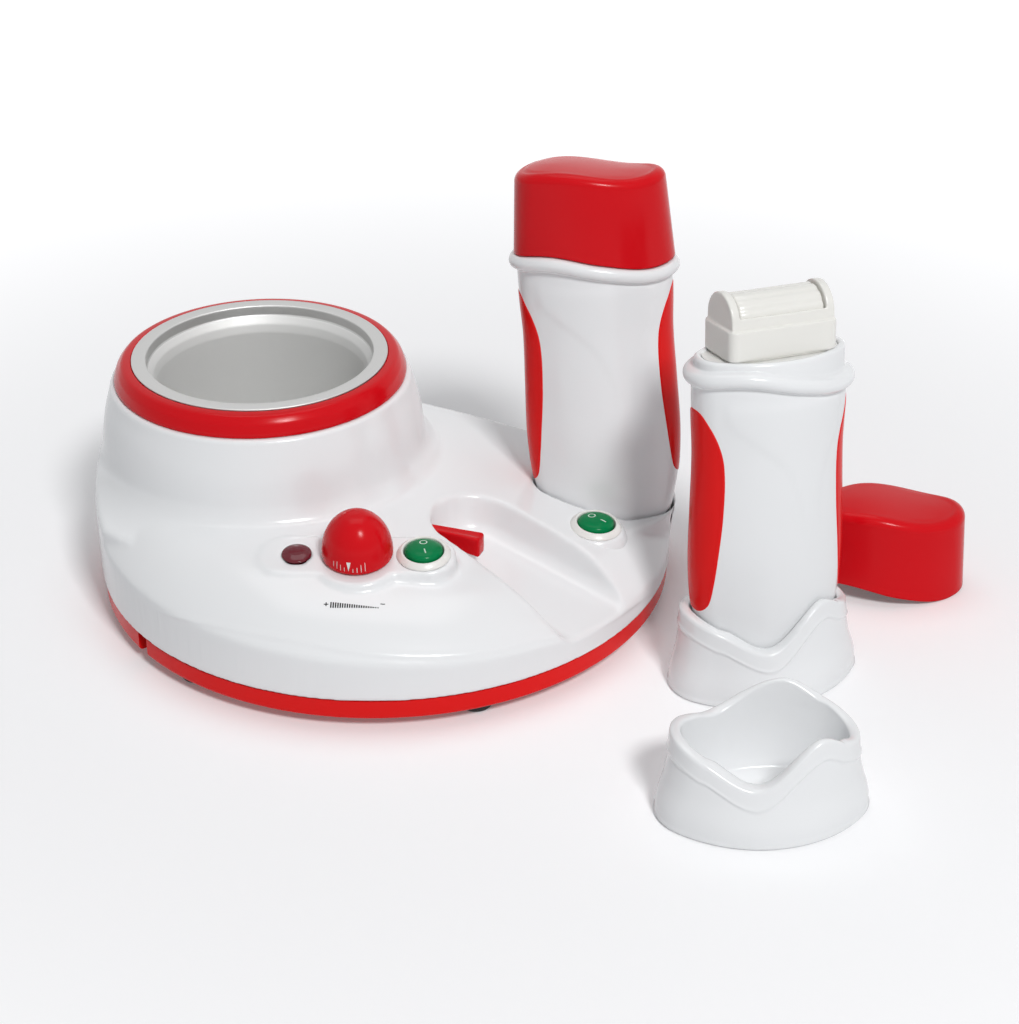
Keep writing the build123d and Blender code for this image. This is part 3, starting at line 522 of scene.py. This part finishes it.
knob_side = curve_points(
    [(17.4, 2.2), (17.1, 6.5), (15.9, 11.6), (13.4, 16.8), (9.4, 21.2), (5.0, 23.7), (0, 24.4)], 5
)
knob_profile = [(3.3, 14.9), (3.3, 0.8), (16.4, 0.8), (17.2, 1.2)] + knob_side
knob_mesh = turned("knob_cap", knob_profile, pad_middle, pad_up, steps=96)
add_piece("knob_cap", knob_mesh, red_abs, "knob", "red_plastic", "knob")
print_white = moulded("print_white", (0.78, 0.77, 0.75), gloss=0.4, shift=0.02)
print_lift = 0.07


def knob_skin(turn, height):
    """Point of the knob's side, a hair outside it, at degrees round from the front."""
    for (r0, h0), (r1, h1) in zip(knob_side, knob_side[1:]):
        if h0 <= height <= h1:
            radius = r0 + (r1 - r0) * (height - h0) / (h1 - h0) + print_lift
            break
    turn = math.radians(turn)
    return Vector((radius * math.sin(turn), -radius * math.cos(turn), height)) * mm


def knob_stroke(bm, turn, low, high, low_width, high_width):
    """A printed stroke that climbs the side of the knob; widths in degrees."""
    for vertex in bmesh.ops.create_grid(bm, x_segments=2, y_segments=8, size=1.0)["verts"]:
        u, v = vertex.co.x, (vertex.co.y + 1) / 2
        half = (low_width + (high_width - low_width) * v) / 2
        vertex.co = knob_skin(turn + half * u, low + (high - low) * v)


bm = bmesh.new()
knob_stroke(bm, -10.5, 3.4, 8.2, 0.2, 7.2)
for turn, low, high in (
    (-37, 3.8, 6.9), (-30.5, 3.3, 7.4), (-24, 3.0, 6.2), (-17.5, 2.9, 5.2),
    (-3.5, 2.7, 4.9), (3, 2.7, 5.6), (9.5, 2.8, 6.9), (16, 3.1, 7.9),
):
    knob_stroke(bm, turn, low, high, 0.9, 0.9)
bmesh.ops.remove_doubles(bm, verts=bm.verts, dist=0.002 * mm)
knob_print = bpy.data.meshes.new("knob_print")
bm.to_mesh(knob_print)
bm.free()
knob_seat = Matrix.Translation(pad_middle) @ Matrix.Rotation(pad_tilt, 4, "X")
knob_print.transform(knob_seat)
add_piece("knob_print", knob_print, print_white, "knob", "cream_plastic")
finish_node("thermostat_shaft", plated_steel)
black_plastic = moulded("black_plastic", (0.014, 0.014, 0.015), gloss=0.34, shift=0.15)
finish_node("thermostat_body", black_plastic)


# Indicator: dark red lens pressed into the left end of the pad, with its neon lamp below.
lens_red = moulded("lens_red", (0.13, 0.003, 0.012), gloss=0.08, shift=0.1, shine=0.35)
lens_place = pad_middle + Vector((-29.5, 0, 0)) * mm
lens_side = [(6.1, -5.9), (6.1, 0.1), (7.35, 0.1), (7.2, 0.8), (6.0, 1.4), (3.6, 2.1), (0, 2.35)]
lens_inner = [(0, 0.3), (4.5, 0.3), (4.5, -5.9)]
lens_mesh = turned("lens", lens_inner + eased(lens_side, 0.5), lens_place, pad_up, steps=64)
add_piece("lens", lens_mesh, lens_red, "base_unit", "dark_red_lens", "indicator_lens")
lamp_glass = moulded("lamp_glass", (0.9, 0.75, 0.65), gloss=0.05, see_through=0.8)
finish_node("indicator_lamp", lamp_glass)


# Round rocker switches: off-white conical bezel, domed green rocker with a printed O and I.
# One sits on the control pad, the other beside the docking bay.
bezel_cream = moulded("bezel_cream", (0.83, 0.82, 0.79), gloss=0.25)
rocker_green = moulded("rocker_green", (0.0, 0.2, 0.062), gloss=0.16, shift=0.12, shine=0.1)
mark_pale = moulded("mark_pale", (0.62, 0.80, 0.68), gloss=0.4, shift=0.02)
switch_tilt, switch_turn = math.radians(7), math.radians(-47)
switches = {
    1: (pad_middle + Vector((32, 0, 0)) * mm, Vector((1, 0, 0)), pad_up),
    2: (
        base + Vector((109, -40.8, 49.4)) * mm,
        Vector((-math.sin(switch_turn), math.cos(switch_turn), 0)),
        Vector(
            (
                math.sin(switch_tilt) * math.cos(switch_turn),
                math.sin(switch_tilt) * math.sin(switch_turn),
                math.cos(switch_tilt),
            )
        ),
    ),
}


def placing(origin, x_axis, z_axis):
    """Matrix that stands a piece made at the origin on its place."""
    y_axis = z_axis.cross(x_axis)
    turn = Matrix((x_axis, y_axis, z_axis)).transposed().to_4x4()
    return Matrix.Translation(origin) @ turn


def moved(mesh, matrix, name):
    """A copy of a mesh, moved to its place."""
    copy = mesh.copy()
    copy.name = name
    copy.materials.clear()
    copy.transform(matrix)
    return copy


def add_moved(name, mesh, matrix, *terms):
    """Put a copy of a mesh in the scene as a piece at its place."""
    add_piece(name, moved(mesh, matrix, name), *terms)


bezel_side = [
    (9.9, -11.8), (9.9, 2.5), (10.8, 2.75), (12.6, 1.3), (13.5, 0.03), (11.0, 0.03),
    (11.0, -12.8), (0, -12.8),
]
bezel_shape = turned("bezel", [(0, -11.8)] + eased(bezel_side, 0.7, 3), Vector(), steps=96)
rocker_side = [
    (9.4, -1.6), (9.45, 3.4), (9.3, 5.0), (8.4, 6.1), (6.6, 6.95), (4.4, 7.4), (2.2, 7.6),
    (0, 7.65),
]
rocker_profile = [(0, -5.0), (7.4, -5.0), (9.4, -1.6)] + eased(rocker_side, 1.0)
rocker_shape = turned("rocker", rocker_profile, Vector(), steps=96)
rocker_lean = math.radians(6)
mark_start = 30


def laid_marks(name, outlines, surface, matrix, height=0.08):
    """Flat printed marks pressed on to a surface: each point drops along -Z of the matrix."""
    places = [vertex.co for vertex in surface.vertices]
    top = BVHTree.FromPolygons(places, [face.vertices for face in surface.polygons])
    bm = bmesh.new()
    for build in outlines:
        build(bm)
    drop = (matrix.to_3x3() @ Vector((0, 0, -1))).normalized()
    for vertex in bm.verts:
        start = matrix @ vertex.co
        hit, normal, _, _ = top.ray_cast(start, drop)
        vertex.co = (hit if hit else start) - drop * height * mm
    bmesh.ops.recalc_face_normals(bm, faces=bm.faces)
    mesh = bpy.data.meshes.new(name)
    bm.to_mesh(mesh)
    bm.free()
    return mesh


def stroke(x0, y0, x1, y1, width, pieces=6):
    """A straight printed line on the XY plane of the mark, in mm, above the surface."""

    def build(bm):
        grid = bmesh.ops.create_grid(bm, x_segments=pieces, y_segments=1, size=0.5)["verts"]
        start, end = Vector((x0, y0, 0)), Vector((x1, y1, 0))
        along = end - start
        across = Vector((-along.y, along.x, 0)).normalized() * width
        above = Vector((0, 0, mark_start))
        for v in grid:
            v.co = (start + along * (v.co.x + 0.5) + across * v.co.y + above) * mm

    return build


def hoop(x, y, radius, width):
    """A printed circle line."""

    def build(bm):
        verts = []
        for edge in (radius + width / 2, radius - width / 2):
            verts += bmesh.ops.create_circle(bm, segments=40, radius=edge * mm)["verts"]
        for v in verts:
            v.co += Vector((x, y, mark_start)) * mm
        edges = {e for v in verts for e in v.link_edges}
        bmesh.ops.bridge_loops(bm, edges=list(edges))

    return build


for tag, (place, x_axis, z_axis) in switches.items():
    seat = placing(place, x_axis, z_axis)
    body = f"rocker_{tag}"
    add_moved(
        f"bezel_ring_{tag}", bezel_shape, seat, bezel_cream, "base_unit", "cream_plastic",
        f"bezel_{tag}",
    )
    lean = seat @ Matrix.Translation((0, 0, -2.5 * mm)) @ Matrix.Rotation(-rocker_lean, 4, "X")
    dome = moved(rocker_shape, lean, f"rocker_dome_{tag}")
    add_piece(f"rocker_dome_{tag}", dome, rocker_green, body, "green_plastic", f"rocker_{tag}")
    signs = [hoop(-0.2, 2.7, 1.7, 0.55), stroke(1.2, -6.1, 0.4, -3.1, 0.55)]
    marks = laid_marks(f"rocker_signs_{tag}", signs, dome, lean)
    add_piece(f"rocker_signs_{tag}", marks, mark_pale, body, "cream_plastic")

# The second switch sits on a low moulded boss that runs out into the strip round it.
boss_side = [
    (11.2, -6.5), (11.2, -0.1), (13.3, -0.05), (14.6, -1.2), (16.2, -4.0), (17.0, -6.5),
    (11.2, -6.5),
]
boss_place, _, boss_up = switches[2]
boss_mesh = turned("switch_boss", eased(boss_side, 1.0), boss_place, boss_up, steps=96)
add_piece("switch_boss", boss_mesh, white_abs, "base_unit", "white_plastic")


# Docking contacts and mains inlet: black blocks with brass pins.
brass = metal("brass", (0.72, 0.52, 0.24), 0.2)
finish_node("contact_block", black_plastic)
finish_node("contact_pins", brass)
finish_node("power_inlet", black_plastic)
finish_node("inlet_pins", brass)
finish_node("terminal_block", bezel_cream)


# Scale printed on the front edge of the deck: a plus, bars that grow shorter, and a minus.
deck_up = Vector((0.03, -0.37, 0.93)).normalized()
deck_x = Vector((1, 0, -0.03)).normalized()
scale_seat = placing(base + Vector((-19.5, -127.1, 54.8)) * mm, deck_x, deck_up)
scale_marks = [
    stroke(-3.4, 2.1, -1.2, 2.1, 0.5),
    stroke(-2.3, 1.0, -2.3, 3.2, 0.5),
    stroke(23.3, 3.4, 25.5, 3.4, 0.5),
]
scale_bars, scale_length = 21, 22.3
for k in range(scale_bars):
    share = k / (scale_bars - 1)
    x, foot, top = scale_length * share, 0.8 * share, 0.8 * share + 3.4 - 2.9 * share
    scale_marks.append(stroke(x, foot, x, top, 0.66))
ink_black = moulded("ink_black", (0.008, 0.008, 0.009), gloss=0.5, shift=0.05, shine=0.1)
scale_print = laid_marks("scale_print", scale_marks, housing_mesh, scale_seat)
add_piece("scale_print", scale_print, ink_black, "base_unit", "black_plastic")


# Handpieces: white waisted shells with a wavy bead round the collar and an oval mouth rim.
grip_width, grip_depth, grip_corner = 78.0, 47.0, 15.5
collar_height, wave_height, rim_height = 149.0, 4.8, 161.0
waist = [
    (0, 0.76, 0.72),
    (5, 0.81, 0.79),
    (14, 0.865, 0.86),
    (22, 0.91, 0.91),
    (30, 0.955, 0.95),
    (42, 0.995, 0.985),
    (60, 1.015, 1.0),
    (86, 0.995, 0.985),
    (112, 0.975, 0.975),
    (132, 0.995, 1.0),
    (155, 1.0, 1.03),
]


def oval_point(angle, width, depth, corner, out=0.0):
    """Point of a flattened oval whose outward normal has this angle, moved out by some mm."""
    side, half = width / 2 - corner, depth / 2
    broad = (side**2 + half**2 - corner**2) / (2 * (half - corner))
    turn = math.atan2(broad - half, side)
    across, deep = math.cos(angle), math.sin(angle)
    if abs(math.atan2(deep, abs(across))) < turn:
        x, y, radius = math.copysign(side, across), 0, corner + out
    else:
        x, y, radius = 0, math.copysign(1, deep) * (half - broad), broad + out
    return Vector((x + radius * across, y + radius * deep))


def skin(name, levels, place, segments=176, close_start=False, close_end=False):
    """A tube of rings: place(level, angle) gives each point of a ring in mm."""
    bm = bmesh.new()
    turn = bm.verts.layers.float.new("turn")
    ring = bmesh.ops.create_circle(bm, segments=segments, radius=1.0)["verts"]
    for vertex in ring:
        vertex[turn] = math.atan2(vertex.co.y, vertex.co.x)
        vertex.co = place(levels[0], vertex[turn]) * mm
    loop = bm.edges[:]
    if close_start:
        bmesh.ops.contextual_create(bm, geom=loop)
    for level in levels[1:]:
        grown = bmesh.ops.extrude_edge_only(bm, edges=loop)["geom"]
        verts = {g for g in grown if isinstance(g, bmesh.types.BMVert)}
        loop = [g for g in grown if isinstance(g, bmesh.types.BMEdge) and set(g.verts) <= verts]
        for vertex in verts:
            vertex.co = place(level, vertex[turn]) * mm
    if close_end:
        bmesh.ops.contextual_create(bm, geom=loop)
    bmesh.ops.remove_doubles(bm, verts=bm.verts, dist=0.001 * mm)
    bmesh.ops.recalc_face_normals(bm, faces=bm.faces)
    for face in bm.faces:
        face.smooth = True
    mesh = bpy.data.meshes.new(name)
    bm.to_mesh(mesh)
    bm.free()
    return mesh


wave_rows = [(-47, 0.4), (-22, 1.0), (3, 0.0), (28, -1.0), (47, -0.5)]


def collar_wave(x):
    """Seen from the front the bead has a crest on its left and a trough on its right."""
    return wave_height * between(wave_rows, x)[0]


def steps_between(start, end, count):
    """Evenly spaced values from start to end, both included."""
    return [start + (end - start) * k / count for k in range(count + 1)]


base_edge_low, base_edge_side, base_edge_reach = 5.0, 26.0, 46.0
base_edge_rise = base_edge_side - base_edge_low
base_arc = (base_edge_reach**2 + base_edge_rise**2) / (2 * base_edge_rise)


def base_edge(x):
    """Height of the line where the white shell meets the black base."""
    return base_edge_low + base_arc - math.sqrt(base_arc**2 - x**2)


def grip_oval(angle, height, out):
    """Point of the waisted body at a height, moved out by some mm."""
    across, deep = between(waist, height)
    return oval_point(angle, grip_width * across, grip_depth * deep, grip_corner, out)


# Levels of the shell: (height, how far out of the body, how much of the wave)
bead_half, bead_out, bead_steps = 3.6, 3.9, 12
base_blend, rim_round, inner_wall = 46, 1.65, 4.7
shell_levels = [(0, -2.2, 0), (0, -0.5, 0), (0.4, 0.0, 0)]
shell_levels += [(h, 0.0, 0) for h in steps_between(2, 44, 26)]
shell_levels += [(h, 0.0, fade(h, 112, 144)) for h in steps_between(base_blend, 143.6, 60)]
shell_levels += [(144.4, 0.05, 1), (144.9, 0.4, 1)]
for k in range(bead_steps + 1):
    a = math.radians(-78 + 156 * k / bead_steps)
    bead_level = collar_height + bead_half * math.sin(a)
    shell_levels.append((bead_level, bead_out * math.cos(a) ** 0.8, 1))
shell_levels += [(153.0, -0.6, 1), (153.4, -1.1, 0.95), (154.4, -1.2, 0.8)]
shell_levels += [(h, -1.2, fade(h, 160, 154) * 0.7) for h in steps_between(155.3, 159.3, 4)]
for k in range(1, 7):
    a = math.radians(90 * k / 6)
    rim_level = 159.3 + rim_round * math.sin(a)
    shell_levels.append((rim_level, -1.2 - rim_round * (1 - math.cos(a)), 0))
shell_levels += [(160.95, -3.6, 0), (160.5, -4.4, 0)]
shell_levels += [(h, -inner_wall, 0) for h in (159.0, 143, 60, 30)]


def shell_point(level, angle):
    """Point of the white shell, whose lower levels follow the black base's edge."""
    height, out, wave = level
    across, deep = between(waist, height)
    x = oval_point(angle, grip_width * across, grip_depth * deep, grip_corner).x
    z = height + wave * collar_wave(x)
    point = grip_oval(angle, max(z, 0), out)
    edge = base_edge(point.x)
    if height < base_blend:
        z = edge + (base_blend - edge) * height / base_blend
        point = grip_oval(angle, z, out)
    elif 60 < height < 144 and abs(point.y) > 15:
        point = grip_oval(angle, z, out + raised_front(point.x, point.y, z))
    return Vector((point.x, point.y, z))


crease_left = [
    (60, 9.0), (80, 8.0), (93, 5.0), (109, -3.0), (124, -20.0), (138, -38.0), (145, -46.0),
]
crease_right = [(60, 14.5), (75, 16.0), (98, 18.0), (113, 23.0), (127, 33.0), (140, 44.0)]
front_proud = 0.35


def raised_front(x, y, height):
    """The front and rear faces stand proud between two creases that run down from the collar."""
    across = x if y < 0 else -x
    left, right = between(crease_left, height)[0], between(crease_right, height)[0]
    inside = fade(across, left - 0.9, left + 0.9) * fade(across, right + 0.9, right - 0.9)
    return front_proud * inside * fade(height, 62, 84) * fade(height, 143, 137)


shell_mesh = skin("grip_shell", shell_levels, shell_point)


def leaning(place, turn, lean, back):
    """Matrix of a piece turned about the vertical, leaning to its left and backwards."""
    lean, back = math.radians(lean), math.radians(back)
    x_axis = Vector((math.cos(lean), 0, math.sin(lean)))
    upright = math.cos(back)
    z_axis = Vector((-math.sin(lean) * upright, math.sin(back), math.cos(lean) * upright))
    spin = Matrix.Rotation(math.radians(turn), 4, "Z")
    return Matrix.Translation(base + Vector(place) * mm) @ spin @ placing(Vector(), x_axis, z_axis)


stand_turn, stand_floor, cup_lean, cup_back = 21, 7.0, -1.3, 7.2
seat_gap = Matrix.Translation((0, 0, 0.3 * mm))
grip_places = {
    1: leaning((117.9, -4.0, 25.7), 0, 4.0, 6.0),
    2: leaning((190.4, -97.6, stand_floor), stand_turn, cup_lean, cup_back) @ seat_gap,
}
for tag, matrix in grip_places.items():
    add_moved(
        f"grip_{tag}", shell_mesh, matrix, white_abs, f"handpiece_{tag}", "white_plastic",
        f"grip_shell_{tag}",
    )
    finish_node(f"grip_base_{tag}", black_plastic)
    finish_node(f"grip_contacts_{tag}", brass)


# Side inserts: red leaves let into both sides of each handpiece, their edges rounded over.
# The outline of a leaf: (height, half its width).
leaf_low, leaf_high = 33.2, 137.4
leaf = [
    (leaf_low, 0.0), (34.4, 5.4), (37.5, 9.4), (42, 11.3), (52, 12.9), (64, 13.9), (80, 14.6),
    (94, 14.8), (106, 14.6), (116, 13.9), (125, 12.1), (131, 9.4), (135.4, 5.6), (leaf_high, 0.0),
]
leaf_proud, leaf_sunk, leaf_round = 0.32, 0.85, 1.1


def side_point(y, height, out, side):
    """Point on the side of the handpiece at a distance y from its middle plane."""
    across, deep = between(waist, height)
    width, depth = grip_width * across, grip_depth * deep
    low, high = 0.0, math.pi / 2
    for _ in range(30):
        angle = (low + high) / 2
        if oval_point(angle, width, depth, grip_corner).y < abs(y):
            low = angle
        else:
            high = angle
    point = oval_point(angle, width, depth, grip_corner, out)
    return Vector((side * point.x, math.copysign(point.y, y), height))


def leaf_mesh(name, side):
    """One leaf: a grid laid on the side of the handpiece, its edge turned in."""
    bm = bmesh.new()
    bmesh.ops.create_grid(bm, x_segments=40, y_segments=110, size=1.0)
    for vertex in bm.verts:
        u, v = vertex.co.x, vertex.co.y
        v = math.sin(v * math.pi / 2)
        height = (leaf_low + leaf_high) / 2 + (leaf_high - leaf_low) / 2 * v
        half = max(between(leaf, height)[0], 0)
        reach = math.sin(u * math.pi / 2)
        y = half * reach
        edge = min(half * (1 - abs(reach)), (height - leaf_low) * 0.8, (leaf_high - height) * 0.5)
        out = leaf_proud - leaf_sunk * (1 - fade(edge, 0, leaf_round)) ** 2
        vertex.co = side_point(y, height, out, side) * mm
    bmesh.ops.remove_doubles(bm, verts=bm.verts, dist=0.01 * mm)
    bmesh.ops.recalc_face_normals(bm, faces=bm.faces)
    for face in bm.faces:
        face.smooth = True
    mesh = bpy.data.meshes.new(name)
    bm.to_mesh(mesh)
    bm.free()
    return mesh


leaves = bmesh.new()
for side in (-1, 1):
    one_leaf = leaf_mesh(f"leaf_{side}", side)
    leaves.from_mesh(one_leaf)
    bpy.data.meshes.remove(one_leaf)
both_leaves = bpy.data.meshes.new("leaves")
leaves.to_mesh(both_leaves)
leaves.free()
for tag, matrix in grip_places.items():
    add_moved(
        f"inserts_{tag}", both_leaves, matrix, red_trim, f"handpiece_{tag}", "red_plastic",
        f"grip_inserts_{tag}",
    )


# Wax cartridge with its head: white bottle and closing plate, ivory head block with soft edges,
# and a roller with shallow flutes that lies nearly flush between its cheeks.
bottle_white = moulded("bottle_white", (0.80, 0.80, 0.78), gloss=0.3, shift=0.05, glow_in=0.1)
ivory = moulded("roller_plastic", (0.82, 0.81, 0.77), gloss=0.2, shift=0.04, glow_in=0.15)
roller_height, roller_half, pin_half = 178.0, 21.6, 24.7
flute_count, flute_depth = 12, 0.34
# Levels of the roller: (place along its axis, radius, how much of the flutes)
left_end = [(-pin_half, 1.5, 0), (-roller_half, 1.5, 0), (-roller_half, 10.9, 1)]
left_end.append((-roller_half + 0.3, 11.6, 1))
drum = [(x, 11.95, 1) for x in steps_between(-roller_half + 1, roller_half - 1, 8)]
right_end = [(-x, radius, flutes) for x, radius, flutes in reversed(left_end)]
roller_levels = left_end + drum + right_end


def roller_point(level, angle):
    """Point of the roller, whose shallow flutes run along it."""
    x, radius, flutes = level
    radius -= flutes * flute_depth * (0.5 + 0.5 * math.cos(flute_count * angle)) ** 3
    return Vector((x, radius * math.cos(angle), roller_height + radius * math.sin(angle)))


roller_mesh = skin(
    "roller", roller_levels, roller_point, segments=192, close_start=True, close_end=True
)
for tag, matrix in grip_places.items():
    finish_node(f"cartridge_{tag}", bottle_white)
    add_moved(
        f"roller_drum_{tag}", roller_mesh, matrix, ivory, f"roller_{tag}", "roller_plastic",
        f"roller_{tag}",
    )
finish_node("roller_head_1", ivory)
head_mesh = eased_copy("roller_head_2", 0.4 * mm, 8, "head_block")
add_piece("head_block", head_mesh, ivory, "cartridge_2", "roller_plastic", "roller_head_2")


# Caps: glossy red covers with a softly waved top, seated on the wavy collar.
cap_walls = [(140, 82.8, 53.2), (202.5, 73.2, 44.2)]
cap_corner, cap_height, cap_round, cap_wall, cap_lip = 18.0, 196.4, 5.0, 2.1, 0.3
mouth_width, mouth_depth = 82, 52
crest_rows = [(-47, 0.2), (-17, 3.4), (22, -1.8), (47, 0.6)]


def cap_crest(x):
    """Wave of the cap's top: high on the left, a dip right of the middle."""
    return between(crest_rows, x)[0]


cap_bottom = collar_height + 4.1
cap_levels = [("in", 8.0), ("in", 2.0), ("lip", 0.0), ("lip", 0.5), ("lip", 1.0)]
cap_levels += [("wall", t) for t in steps_between(0.02, 1.0, 26)]
cap_levels += [("turn", k / 12) for k in range(1, 13)]
cap_levels += [("top", k / 12) for k in range(1, 13)]


def cap_point(level, angle):
    """Point of the cap, from inside its mouth round the lip and up the wall to the top."""
    kind, t = level
    mouth = oval_point(angle, mouth_width, mouth_depth, cap_corner)
    bottom = cap_bottom + collar_wave(mouth.x)

    def wall(z, out):
        width, depth = between(cap_walls, z)
        return oval_point(angle, width, depth, cap_corner, out)

    if kind == "in":
        point = wall(bottom + t, -cap_wall)
        return Vector((point.x, point.y, bottom + t))
    if kind == "lip":
        point = wall(bottom, -cap_wall + cap_wall * t)
        return Vector((point.x, point.y, bottom + cap_lip * (1 - math.sin(t * math.pi))))
    point = wall(cap_height, 0)
    crest = cap_height - 1.0 + cap_crest(point.x)
    if kind == "wall":
        z = bottom + cap_lip + (crest - cap_round - bottom - cap_lip) * t
        point = wall(z, 0)
        return Vector((point.x, point.y, z))
    if kind == "turn":
        a = math.pi / 2 * t
        point = wall(crest - cap_round, -cap_round * (1 - math.cos(a)))
        return Vector((point.x, point.y, crest - cap_round + cap_round * math.sin(a)))
    rim = wall(crest - cap_round, -cap_round)
    shrink = 1 - t
    x, y = rim.x * (shrink * 0.5 + 0.5), rim.y * shrink
    return Vector((x, y, cap_height - 1.0 + cap_crest(x) + 0.8 * (1 - shrink**2)))


cap_mesh = skin("cap", cap_levels, cap_point)
loose_cap = base + Vector((265.0, -14.5, -(collar_height + 4.0 - wave_height))) * mm
for tag, matrix in {1: grip_places[1], 2: Matrix.Translation(loose_cap)}.items():
    add_moved(
        f"cap_cover_{tag}", cap_mesh, matrix, red_abs, f"cap_{tag}", "red_plastic", f"cap_{tag}"
    )


# Tongue: red lever in the trough, a bar that widens to its square free end and has a shallow
# groove along its top. It turns on a steel pin in the wall of the trough.
tongue_turn = math.radians(-21)
tongue_along = Vector((math.cos(tongue_turn), math.sin(tongue_turn), 0))
tongue_seat = placing(base + Vector((24.0, -54.5, 53.5)) * mm, tongue_along, Vector((0, 0, 1)))
tongue_levels = [(-4.6, 1.2), (-4.3, 0.4), (-3.6, 0)] + [(x, 0) for x in range(-2, 29, 3)]
tongue_levels += [(28.2, 0.1), (28.8, 0.5), (29.0, 1.3)]
squareness, groove_depth = 0.3, 0.9


def tongue_point(level, angle):
    """Point of the bar, whose section is a square with soft corners."""
    x, inset = level
    share = (x + 5) / 34
    half, low, high = 2.2 + 2.0 * share - inset, -2.2 - 4.4 * share + inset, 4.3 - inset
    across, up = math.cos(angle), math.sin(angle)
    y = half * math.copysign(abs(across) ** squareness, across)
    z = (high + low) / 2 + (high - low) / 2 * math.copysign(abs(up) ** squareness, up)
    if up > 0:
        z -= groove_depth * math.exp(-((y + 0.6) ** 2) / 1.1) * fade(x, -4, 2)
    return Vector((x, y, z))


tongue_mesh = skin(
    "tongue_bar", tongue_levels, tongue_point, segments=72, close_start=True, close_end=True
)
add_moved("tongue_bar", tongue_mesh, tongue_seat, red_abs, "tongue", "red_plastic", "tongue")
finish_node("tongue_pin", plated_steel)


# Cradles: glossy white stands with a flared foot and a rolling rim that dips in front.
stand_wall = [
    (0, 99.0, 67.0, 0.0),
    (8, 98.0, 66.0, 0.4),
    (20, 91.0, 59.5, 1.7),
    (40, 85.5, 54.5, 4.0),
    (56, 84.5, 53.5, 6.0),
]
stand_corner, cup_gap, stand_width, stand_depth = 22.0, 0.8, 86, 55
foot_round, stand_rim, band_height, band_step = 1.2, 1.6, 14, 0.55
rim_front = [(-50, 44), (-36, 38.5), (-9, 27.2), (20, 46), (34, 40.5), (50, 33)]
rim_rear = [(-50, 43), (-36, 39), (-20, 35.5), (14, 48), (34, 40.5), (50, 33)]


def rim_line(x, y):
    """Height of the cradle's rim: one line in front and one behind, blended at both ends."""
    front, rear = between(rim_front, x)[0], between(rim_rear, x)[0]
    return front + (rear - front) * fade(y, -10, 10)


cradle_levels = [("under", 0), ("foot", 0), ("foot", 1), ("foot", 2)]
cradle_levels += [("low", t) for t in steps_between(0.03, 1.0, 16)]
cradle_levels += [("band", t) for t in steps_between(13.5, 0.5, 26)]
cradle_levels += [("rim", k / 8) for k in range(1, 9)]
cradle_levels += [("in", t) for t in steps_between(0.04, 1.0, 28)]


def cradle_point(level, angle):
    """Point of the stand, from under its foot up the wall, over the rim and down the cup."""
    kind, t = level
    rough = oval_point(angle, stand_width, stand_depth, stand_corner)
    edge_height = rim_line(rough.x, rough.y) - stand_rim

    def wall(z, out):
        width, depth, back = between(stand_wall, z)
        return oval_point(angle, width, depth, stand_corner, out) + Vector((0, back))

    def cup(z, out):
        rise = max(z - stand_floor, 0)
        across, deep = between(waist, rise)
        width, depth = grip_width * across + 2 * cup_gap, grip_depth * deep + 2 * cup_gap
        slope = Vector((-math.tan(math.radians(cup_lean)), math.tan(math.radians(cup_back))))
        return oval_point(angle, width, depth, grip_corner + cup_gap, out) + slope * rise

    if kind == "under":
        point = wall(0, -4)
        return Vector((point.x, point.y, 0.02))
    if kind == "foot":
        a = math.pi / 2 * t / 2
        point = wall(foot_round, -foot_round + foot_round * math.sin(a))
        return Vector((point.x, point.y, 1.22 - foot_round * math.cos(a)))
    if kind == "low":
        z = 1.4 + (edge_height - band_height - 1.4) * t
        point = wall(z, -band_step)
        return Vector((point.x, point.y, z))
    if kind == "band":
        z = edge_height - t
        line = math.exp(-(((t - 7.2) / 0.8) ** 2)) * 0.3
        point = wall(z, -band_step * fade(t, 6.8, 9.4) + line)
        return Vector((point.x, point.y, z))
    if kind == "rim":
        a = math.pi * t
        share = 0.5 - 0.5 * math.cos(a)
        point = wall(edge_height, 0).lerp(cup(edge_height, 0), share)
        return Vector((point.x, point.y, edge_height + stand_rim * math.sin(a) ** 0.7))
    z = edge_height + (stand_floor - edge_height) * t
    point = cup(z, 0)
    return Vector((point.x, point.y, z))


cradle_mesh = skin("cradle", cradle_levels, cradle_point, segments=192, close_end=True)
cradle_places = {
    1: leaning((179.0, -206.5, 0), 8, 0, 0),
    2: leaning((190.4, -97.6, 0), stand_turn, 0, 0),
}
for tag, matrix in cradle_places.items():
    add_moved(
        f"stand_{tag}", cradle_mesh, matrix, white_abs, f"cradle_{tag}", "white_plastic",
        f"cradle_{tag}",
    )
